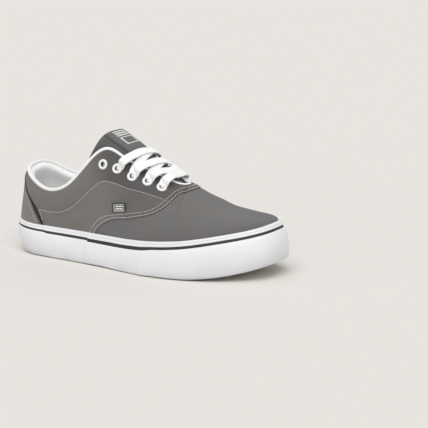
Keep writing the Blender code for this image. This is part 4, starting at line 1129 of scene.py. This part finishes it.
def bumper_cover(s):
    """How far the toe bumper has taken over from the plain tape."""
    return ease((s - BUMPER_START) / 0.05)


def make_bumper():
    """Second tape round the toe, its ends cut on a curve and thinning out."""
    half = np.concatenate([np.linspace(BUMPER_START, 0.66, 40), np.linspace(0.66, 1, 90)[1:]])
    face = [(0.0, 0.30), (0.03, 0.75), (0.08, 1.0), (0.3, 1.03), (0.5, 1.05), (0.7, 1.03),
            (0.9, 1.0), (0.96, 0.9), (0.99, 0.6), (1.0, 0.2)]
    profile = face + [(q, 0.0) for q in (1.0, 0.75, 0.5, 0.25, 0.0)]
    blocks = []
    for side, s in ((OUTER, half), (INNER, half[::-1][1:])):
        thick = BUMPER_THIN + (BUMPER_THICK - BUMPER_THIN) * bumper_cover(s)
        section = []
        for q, share in profile:
            cut = s + 0.048 * (1 - ease((s - BUMPER_START) / 0.11)) * max(q - 0.42, 0) ** 1.6
            x = outline(side, cut)[0][..., 0]
            deep, tall = stripe_line(cut)
            low, high = floor_z(x) + BUMPER_LIFT, top_z(x) - deep - tall - 0.2
            base = BUMPER_LAP - BUMPER_THICK * bumper_cover(cut)
            section.append(side_wall(side, cut, low + (high - low) * q, base + thick * share))
        blocks.append(np.stack(section, 1))
    sections = np.concatenate(blocks)
    n, m = sections.shape[:2]
    ends = [np.arange(m)[None], np.arange((n - 1) * m, n * m)[None]]
    # shares down the side, which the rubber's finish greys with painted shade
    down = np.broadcast_to(1 - np.array([q for q, _ in profile]), (n, m))
    obj = piece("toe_band", sections.reshape(-1, 3), [quads(n, m, False, True)] + ends,
                [finish("vulcanised_white", rubber, 0xF1F2F5)], values={"down": down})
    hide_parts("toe_bumper")


def across_sole(z_of, out, count=140, across=25):
    """Grid over the sole: rows along its length, each a straight line from the
    outer to the inner side, at heights z_of(x, share across)."""
    s = np.linspace(0.004, 0.996, count)
    v = np.linspace(-1, 1, across)
    ends = []
    for side in (OUTER, INNER):
        flat = side_wall(side, s, top_z(outline(side, s)[0][..., 0]) * 0.5, np.full(s.shape, out))
        ends.append(flat[:, None, :2])
    share = (v[None, :, None] + 1) / 2
    plan = ends[0] * (1 - share) + ends[1] * share
    z = z_of(plan[..., 0], np.broadcast_to(v, plan.shape[:2]))
    return np.concatenate([plan, z[..., None]], -1)


def make_insole():
    """Insole: a thin foam bed with a cupped heel, thicker at its edge by the
    fourth power of the share across."""
    inside = -(TAPE + TAPE_CLEAR + WALL + INSOLE_CLEAR) + 0.6

    def top(x, v):
        cup = 3.2 * np.abs(v) ** 4 * ease((0.55 - x / LENGTH) / 0.3) + 0.8 * np.abs(v) ** 4
        wave = 0.35 * np.sin(x / 19) * np.cos(v * 2)
        return seat_z(x) + INSOLE + cup + wave - 0.3

    high = across_sole(top, inside)
    low = across_sole(lambda x, v: seat_z(x) + GAP, inside)
    points, blocks, first = closed_sheet(high, low, quads(*high.shape[:2]))
    obj = piece("insole_bed", points, blocks, [finish("insole_knit", insole_cloth)],
                points[:, :2])
    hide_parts("insole")


def inside_ring(points, ring):
    """Whether rays from the points cross the ring an odd number of times."""
    a, b = ring, np.roll(ring, -1, 0)
    x, y = points[:, :1], points[:, 1:2]
    cross = (a[:, 1] > y) != (b[:, 1] > y)
    with np.errstate(divide="ignore", invalid="ignore"):
        at = a[:, 0] + (y - a[:, 1]) * (b[:, 0] - a[:, 0]) / (b[:, 1] - a[:, 1])
    return (cross & (x < at)).sum(1) % 2 == 1


def make_outsole():
    """Outsole: a slab up to the seat, a rim, and a tread of diamond lugs with
    bevelled tops, kept where they lie inside the edge of the tread."""
    inside = -(TAPE + TAPE_CLEAR)
    levels = (
        (seat_z, 0.0, inside),
        (floor_z, RIM, inside),
        (floor_z, 0.6, inside),
        (floor_z, 0.0, inside - 0.8),
        (floor_z, 0.0, inside - TREAD_INSET),
        (floor_z, 0.3, inside - TREAD_INSET - 0.5),
        (floor_z, TREAD, inside - TREAD_INSET - 0.8),
    )
    rings = []
    for z_of, above, out in levels:
        blocks = []
        for side, s in ring_places(150):
            blocks.append(at_height(side, s, z_of(outline(side, s)[0][..., 0]) + above, out))
        rings.append(np.concatenate(blocks))
    n = len(rings[0])
    flat = [np.concatenate(rings)]
    faces = [quads(len(rings), n, False, True)]
    i = np.arange(n // 2)
    for k in (0, len(rings) - 1):
        faces.append(np.stack([i, i + 1, (n - i - 1) % n, (n - i) % n], -1) + k * n)
    ring = rings[4][:, :2]
    rows, columns = np.meshgrid(np.arange(-8, 9), np.arange(0, 31), indexing="ij")
    keep = (rows + columns) % 2 == 0
    cx = LUG_START + columns[keep] * LUG_STEP_X / 2
    cy = rows[keep] * LUG_STEP_Y / 2 + centre(cx)
    turn = np.array([(-1, 0), (0, -1), (1, 0), (0, 1)], float)
    corner = np.stack([cx, cy], -1)[:, None] + turn * [LUG_HALF_X + 0.6, LUG_HALF_Y + 0.6]
    inside_all = inside_ring(corner.reshape(-1, 2), ring).reshape(-1, 4).all(1)
    cx, cy = cx[inside_all], cy[inside_all]
    start = len(flat[0])
    shapes = [(1.0, TREAD + 1.0), (1.0, 0.7), (0.93, 0.1), (0.86, 0.0), (0.42, 0.0), (0.36, 0.7)]
    lug = []
    for share, height in shapes:
        xy = np.stack([cx, cy], -1)[:, None] + turn * [LUG_HALF_X * share, LUG_HALF_Y * share]
        lug.append(np.concatenate([xy, (floor_z(xy[..., 0]) + height)[..., None]], -1))
    lug = np.stack(lug, 1)
    count, m = len(cx), len(shapes) * 4
    flat.append(lug.reshape(-1, 3))
    rings_of = quads(len(shapes), 4, False, True)
    faces.append(np.concatenate([rings_of + start + m * k for k in range(count)]))
    base = start + m * np.arange(count)[:, None]
    faces += [base + np.arange(4), base + np.arange(m - 4, m)]
    obj = piece("outsole_rubber", np.concatenate(flat), faces,
                [finish("tread_rubber", rubber, 0xDDDCD8)], angle=30)
    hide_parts("outsole")


# finishes

def linear(value):
    """sRGB colour 0xRRGGBB as linear RGBA."""
    parts = np.array([value >> 16, value >> 8 & 255, value & 255]) / 255
    return (*np.where(parts <= 0.04045, parts / 12.92, ((parts + 0.055) / 1.055) ** 2.4), 1.0)


def darker(colour, share):
    return (*[c * share for c in colour[:3]], 1.0)


def set_inputs(tree, node, inputs):
    """Gives each named input a constant, or the output that feeds it."""
    for name, value in inputs.items():
        if isinstance(value, bpy.types.Node):
            value = value.outputs[0]
        if isinstance(value, bpy.types.NodeSocket):
            tree.links.new(value, node.inputs[name])
        else:
            node.inputs[name].default_value = value


def add(tree, kind, settings, inputs):
    """Adds a node with its own settings, constants and links."""
    node = tree.nodes.new("ShaderNode" + kind)
    for name, value in settings.items():
        setattr(node, name, value)
    set_inputs(tree, node, inputs)
    return node


MADE = {}


def finish(name, recipe, value=None):
    """The finish of that name, made once. Its recipe gets the node tree, the
    lengths on the cloth (UV), the place on the object and a colour, and gives
    the inputs of the shader."""
    if name not in MADE:
        made = MADE[name] = bpy.data.materials.new(name)
        made.use_nodes = True
        tree = made.node_tree
        at = add(tree, "TexCoord", {}, {}).outputs
        shader = tree.nodes["Principled BSDF"]
        set_inputs(tree, shader, recipe(tree, at["UV"], at["Object"], value))
    return MADE[name]


def canvas(tree, lengths, place, value):
    """Cotton twill: fine diagonal ribs, slubs and a slow drift between a warm
    and a violet grey. The eye gets a dry cloth, darker on the panel that carries
    the eyelets, with painted shade along the tongue's fold and wings."""
    red, green, blue, _ = linear(value)
    # patches of about 25 mm, warm against violet
    patches = add(tree, "TexNoise", {}, {"Vector": place, "Scale": 38.0, "Detail": 2.0})
    warm = (red * 1.03, green, blue * 0.96, 1)
    violet = (red * 0.98, green * 0.965, blue * 1.02, 1)
    drift = add(tree, "MapRange", {}, {"Value": patches, "From Min": 0.38, "From Max": 0.62})
    colour = add(tree, "MixRGB", {}, {"Fac": drift, "Color1": warm, "Color2": violet})
    # threads: 1.3 mm where the cloth has about 0.7, so that they read at this distance
    ribs = add(tree, "TexWave", {"wave_type": "BANDS", "bands_direction": "DIAGONAL"},
               {"Vector": lengths, "Scale": 480.0, "Distortion": 1.2, "Detail": 1.0, "Detail Scale": 2.0})
    slubs = add(tree, "TexNoise", {}, {"Vector": lengths, "Scale": 900.0, "Detail": 3.0})
    weave = add(tree, "MixRGB", {}, {"Fac": 0.5, "Color1": ribs, "Color2": slubs})
    shade = add(tree, "MapRange", {}, {"Value": weave, "From Min": 0.2, "From Max": 0.8,
                                       "To Min": 0.80, "To Max": 1.16})
    # darker attribute: darker cloth round the eyelets on the quarters, painted shade along the tongue's fold
    # and wings
    darkening = add(tree, "Attribute", {"attribute_name": "darker"}, {}).outputs["Fac"]
    dim = add(tree, "MapRange", {}, {"Value": darkening, "To Min": 1.0, "To Max": 0.56})
    for layer in (shade, dim):
        colour = add(tree, "MixRGB", {"blend_type": "MULTIPLY"},
                     {"Fac": 1.0, "Color1": colour, "Color2": layer})
    bump = add(tree, "Bump", {}, {"Height": weave, "Strength": 0.55, "Distance": 0.0004})
    return {"Base Color": colour, "Roughness": 0.95, "Normal": bump, "Sheen Weight": 0.15,
            "Sheen Roughness": 0.6, "Specular IOR Level": 0.15}


def lining(tree, lengths, place, value):
    """Brushed cotton lining: matt, nearly white, with a short soft nap."""
    nap = add(tree, "TexNoise", {}, {"Vector": lengths, "Scale": 1100.0, "Detail": 2.0})
    soft = add(tree, "TexNoise", {}, {"Vector": lengths, "Scale": 45.0, "Detail": 2.0})
    colour = add(tree, "MixRGB", {}, {"Fac": soft, "Color1": linear(0xF8F8F8), "Color2": linear(0xFDFDFD)})
    bump = add(tree, "Bump", {}, {"Height": nap, "Strength": 0.35, "Distance": 0.0003})
    return {"Base Color": colour, "Roughness": 0.9, "Normal": bump, "Sheen Weight": 0.2,
            "Specular IOR Level": 0.2}


def insole_cloth(tree, lengths, place, value):
    """Insole cover: a matt knit over foam, a little greyer where it is worn."""
    knit = add(tree, "TexVoronoi", {}, {"Vector": lengths, "Scale": 700.0})
    wear = add(tree, "TexNoise", {}, {"Vector": lengths, "Scale": 22.0, "Detail": 3.0})
    colour = add(tree, "MixRGB", {}, {"Fac": wear, "Color1": linear(0xD6D6D3), "Color2": linear(0xEAEAE8)})
    bump = add(tree, "Bump", {}, {"Height": knit, "Strength": 0.5, "Distance": 0.0004})
    return {"Base Color": colour, "Roughness": 0.95, "Normal": bump, "Specular IOR Level": 0.15}


def cotton_tape(tree, lengths, place, value):
    """White cotton tape: a soft matt edge with fine ribs across it."""
    ribs = add(tree, "TexWave", {"bands_direction": "X"},
               {"Vector": lengths, "Scale": 300.0, "Distortion": 0.6})
    grime = add(tree, "TexNoise", {}, {"Vector": lengths, "Scale": 60.0, "Detail": 3.0})
    colour = add(tree, "MixRGB", {}, {"Fac": grime, "Color1": linear(0xF3F3F2), "Color2": linear(0xFDFDFC)})
    bump = add(tree, "Bump", {}, {"Height": ribs, "Strength": 0.3, "Distance": 0.0003})
    return {"Base Color": colour, "Roughness": 0.85, "Normal": bump, "Specular IOR Level": 0.25}


def lace(tree, lengths, place, value):
    """Flat woven lace: slanting rows of soft white yarn, matt and bright."""
    # yarns of 1.2 mm, about half as many as real ones
    weave = add(tree, "TexWave", {"bands_direction": "DIAGONAL"},
                {"Vector": lengths, "Scale": 520.0, "Distortion": 2.0, "Detail": 1.0})
    fibre = add(tree, "TexNoise", {}, {"Vector": lengths, "Scale": 1200.0, "Detail": 2.0})
    height = add(tree, "MixRGB", {}, {"Fac": 0.4, "Color1": weave, "Color2": fibre})
    colour = add(tree, "MixRGB", {}, {"Fac": height, "Color1": linear(0xF8F8F8), "Color2": linear(0xFFFFFF)})
    bump = add(tree, "Bump", {}, {"Height": height, "Strength": 0.4, "Distance": 0.0004})
    return {"Base Color": colour, "Roughness": 0.85, "Normal": bump, "Sheen Weight": 0.2,
            "Specular IOR Level": 0.2}


def thread(tree, lengths, place, value):
    """Light grey sewing thread: painted highlights and shade along its twist break each stitch into light
    and dark.
    """
    twist = add(tree, "TexWave", {"bands_direction": "DIAGONAL"}, {"Vector": place, "Scale": 700.0})
    colour = add(tree, "MixRGB", {}, {"Fac": twist, "Color1": linear(0xB2B1AE), "Color2": linear(0xD6D5D2)})
    return {"Base Color": colour, "Roughness": 0.8, "Specular IOR Level": 0.3}


def dark_cord(tree, lengths, place, value):
    """Dark piping: twisted cord under a dull cloth, nearly black."""
    twist = add(tree, "TexWave", {"bands_direction": "DIAGONAL"}, {"Vector": lengths, "Scale": 330.0})
    colour = add(tree, "MixRGB", {}, {"Fac": twist, "Color1": linear(0x232124), "Color2": linear(0x3A383B)})
    bump = add(tree, "Bump", {}, {"Height": twist, "Strength": 0.5, "Distance": 0.0004})
    return {"Base Color": colour, "Roughness": 0.9, "Normal": bump, "Specular IOR Level": 0.2}


def woven_label(tree, lengths, place, value):
    """Damask label: tight satin weave, a little smoother than the canvas, with
    lighter threads for its plain print."""
    weave = add(tree, "TexWave", {"bands_direction": "Y"},
                {"Vector": lengths, "Scale": 420.0, "Distortion": 0.8})
    dull, bright = darker(linear(value), 0.85), darker(linear(value), 1.1)
    ground = add(tree, "MixRGB", {}, {"Fac": weave, "Color1": dull, "Color2": bright})
    light = add(tree, "Attribute", {"attribute_name": "light"}, {}).outputs["Fac"]
    colour = add(tree, "MixRGB", {}, {"Fac": light, "Color1": ground, "Color2": linear(0xE6E6E2)})
    bump = add(tree, "Bump", {}, {"Height": weave, "Strength": 0.4, "Distance": 0.0003})
    return {"Base Color": colour, "Roughness": 0.7, "Normal": bump, "Specular IOR Level": 0.3}


def enamel(tree, lengths, place, value):
    """White enamel over metal: glossy, with a thin clear coat and fine chips."""
    chips = add(tree, "TexNoise", {}, {"Vector": place, "Scale": 700.0, "Detail": 3.0})
    mask = add(tree, "MapRange", {}, {"Value": chips, "From Min": 0.66, "From Max": 0.72})
    colour = add(tree, "MixRGB", {}, {"Fac": mask, "Color1": linear(0xF6F6F6), "Color2": linear(0xB9B9B8)})
    return {"Base Color": colour, "Roughness": 0.3, "Coat Weight": 0.3, "Coat Roughness": 0.15}


def painted_hole_shade(tree, lengths, place, value):
    """Painted shade inside an eyelet's barrel and the cup under it: dull and nearly black."""
    stain = add(tree, "TexNoise", {}, {"Vector": place, "Scale": 900.0, "Detail": 2.0})
    colour = add(tree, "MixRGB", {}, {"Fac": stain, "Color1": linear(0x1C1C1D), "Color2": linear(0x303031)})
    return {"Base Color": colour, "Roughness": 0.8, "Metallic": 0.3, "Specular IOR Level": 0.1}


def rubber(tree, lengths, place, value):
    """Vulcanised rubber: satin, with mould grain and faint clouds; dusty grey
    and painted shade near the ground, and painted shade down the side and in
    the joints between the bands."""
    base = linear(value)
    grain = add(tree, "TexNoise", {}, {"Vector": place, "Scale": 1400.0, "Detail": 2.0})
    cloud = add(tree, "TexNoise", {}, {"Vector": place, "Scale": 30.0, "Detail": 4.0})
    drift = add(tree, "MapRange", {}, {"Value": cloud, "From Min": 0.35, "From Max": 0.7})
    colour = add(tree, "MixRGB", {}, {"Fac": drift, "Color1": base, "Color2": darker(base, 0.94)})
    # dusty grey mixed with painted shade over the lowest 7 mm
    height = add(tree, "SeparateXYZ", {}, {"Vector": place}).outputs["Z"]
    low = add(tree, "MapRange", {}, {"Value": height, "From Min": 0.0, "From Max": 0.007,
                                     "To Min": 0.35, "To Max": 0.0})
    dust_and_shade = add(tree, "Math", {"operation": "MULTIPLY"}, {0: low, 1: drift})
    colour = add(tree, "MixRGB", {}, {"Fac": dust_and_shade, "Color1": colour, "Color2": linear(0xA9A59D)})
    # painted shade: greyer down the side, as its attribute says, and darker in the joints between the bands
    # by occlusion
    down = add(tree, "Attribute", {"attribute_name": "down"}, {}).outputs["Fac"]
    steep = add(tree, "Math", {"operation": "POWER"}, {0: down, 1: 1.6})
    dim = add(tree, "MapRange", {}, {"Value": steep, "To Min": 1.0, "To Max": 0.84})
    # painted shade from ambient occlusion in the joints and crevices between the bands
    joint = add(tree, "AmbientOcclusion", {"samples": 8}, {"Distance": 0.0015}).outputs["AO"]
    joint_shade = add(tree, "MapRange", {}, {"Value": joint, "From Min": 0.4, "From Max": 0.9, "To Min": 0.62})
    for layer in (dim, joint_shade):
        colour = add(tree, "MixRGB", {"blend_type": "MULTIPLY"},
                     {"Fac": 1.0, "Color1": colour, "Color2": layer})
    rough = add(tree, "MapRange", {}, {"Value": cloud, "To Min": 0.42, "To Max": 0.62})
    bump = add(tree, "Bump", {}, {"Height": grain, "Strength": 0.25, "Distance": 0.0002})
    return {"Base Color": colour, "Roughness": rough, "Normal": bump, "Specular IOR Level": 0.4}


def floor_paper(tree, lengths, place, value):
    """Matt backdrop paper, warm and pale, without any gloss."""
    return {"Base Color": FLOOR_COLOUR, "Roughness": 1.0, "Specular IOR Level": 0.0}


# stage, light and camera

def make_stage():
    """Pale seamless floor under an even sky and one broad soft lamp."""
    mesh = bpy.data.meshes.new("floor")
    mesh.from_pydata([(-20, -20, 0), (20, -20, 0), (20, 20, 0), (-20, 20, 0)], [], [(0, 1, 2, 3)])
    mesh.materials.append(finish("floor_paper", floor_paper))
    floor = bpy.data.objects.new("floor", mesh)
    bpy.context.scene.collection.objects.link(floor)
    sky = bpy.data.worlds.new("studio")
    sky.use_nodes = True
    sky.node_tree.nodes["Background"].inputs["Color"].default_value = (1, 1, 1, 1)
    sky.node_tree.nodes["Background"].inputs["Strength"].default_value = SKY
    bpy.context.scene.world = sky
    lamp = bpy.data.lights.new("lamp", "SUN")
    lamp.energy = LAMP
    lamp.angle = np.radians(55)
    holder = bpy.data.objects.new("lamp", lamp)
    holder.rotation_euler = Vector(LAMP_FROM).to_track_quat("Z", "Y").to_euler()
    bpy.context.scene.collection.objects.link(holder)
    scene = bpy.context.scene
    scene.view_settings.view_transform = "Standard"
    scene.view_settings.look = "None"


def make_camera():
    """Camera on the outer side, turned to the toe's side, a long lens. The axes
    look at the target, then turn until it falls on its pixel of the frame."""
    turn, tilt, far, focal = np.radians(30.6), np.radians(12.0), 1400.0, 1411.3
    frame_side, middle, pixel = 428, 214.0, (145.0, 216.8)
    back = np.array([np.sin(turn) * np.cos(tilt), -np.cos(turn) * np.cos(tilt), np.sin(tilt)])
    right = np.array([np.cos(turn), np.sin(turn), 0])
    axes = np.stack([right, np.cross(back, right), back], 1)
    yaw = np.arctan((pixel[0] - middle) / focal)
    pitch = np.arctan(-(pixel[1] - middle) / focal * np.cos(yaw))
    spin_y = np.array([(np.cos(yaw), 0, -np.sin(yaw)), (0, 1, 0), (np.sin(yaw), 0, np.cos(yaw))])
    spin_x = np.array([(1, 0, 0), (0, np.cos(pitch), -np.sin(pitch)), (0, np.sin(pitch), np.cos(pitch))])
    turned = axes @ (spin_x @ spin_y).T
    camera = bpy.data.cameras.new("camera")
    camera.sensor_width = 36
    camera.lens = focal / frame_side * 36
    camera.clip_end = 100
    obj = bpy.data.objects.new("camera", camera)
    target = (np.array([144.0, 0.0, 45.0]) + MOVE) / 1000
    place = Matrix.Translation(Vector(target + back * far / 1000))
    obj.matrix_world = place @ Matrix(turned.tolist()).to_4x4()
    bpy.context.scene.collection.objects.link(obj)
    bpy.context.scene.camera = obj


FLOOR_COLOUR = (0.805, 0.780, 0.742, 1)
SKY, LAMP, LAMP_FROM = 0.62, 1.40, (0.22, -0.55, 1.0)

make_quarters()
make_vamp()
make_lining()
make_binding()
make_stitches()
make_heel()
make_tongue()
make_label()
make_tag()
make_eyelets()
make_laces()
make_tapes()
make_bumper()
make_insole()
make_outsole()
make_stage()
make_camera()
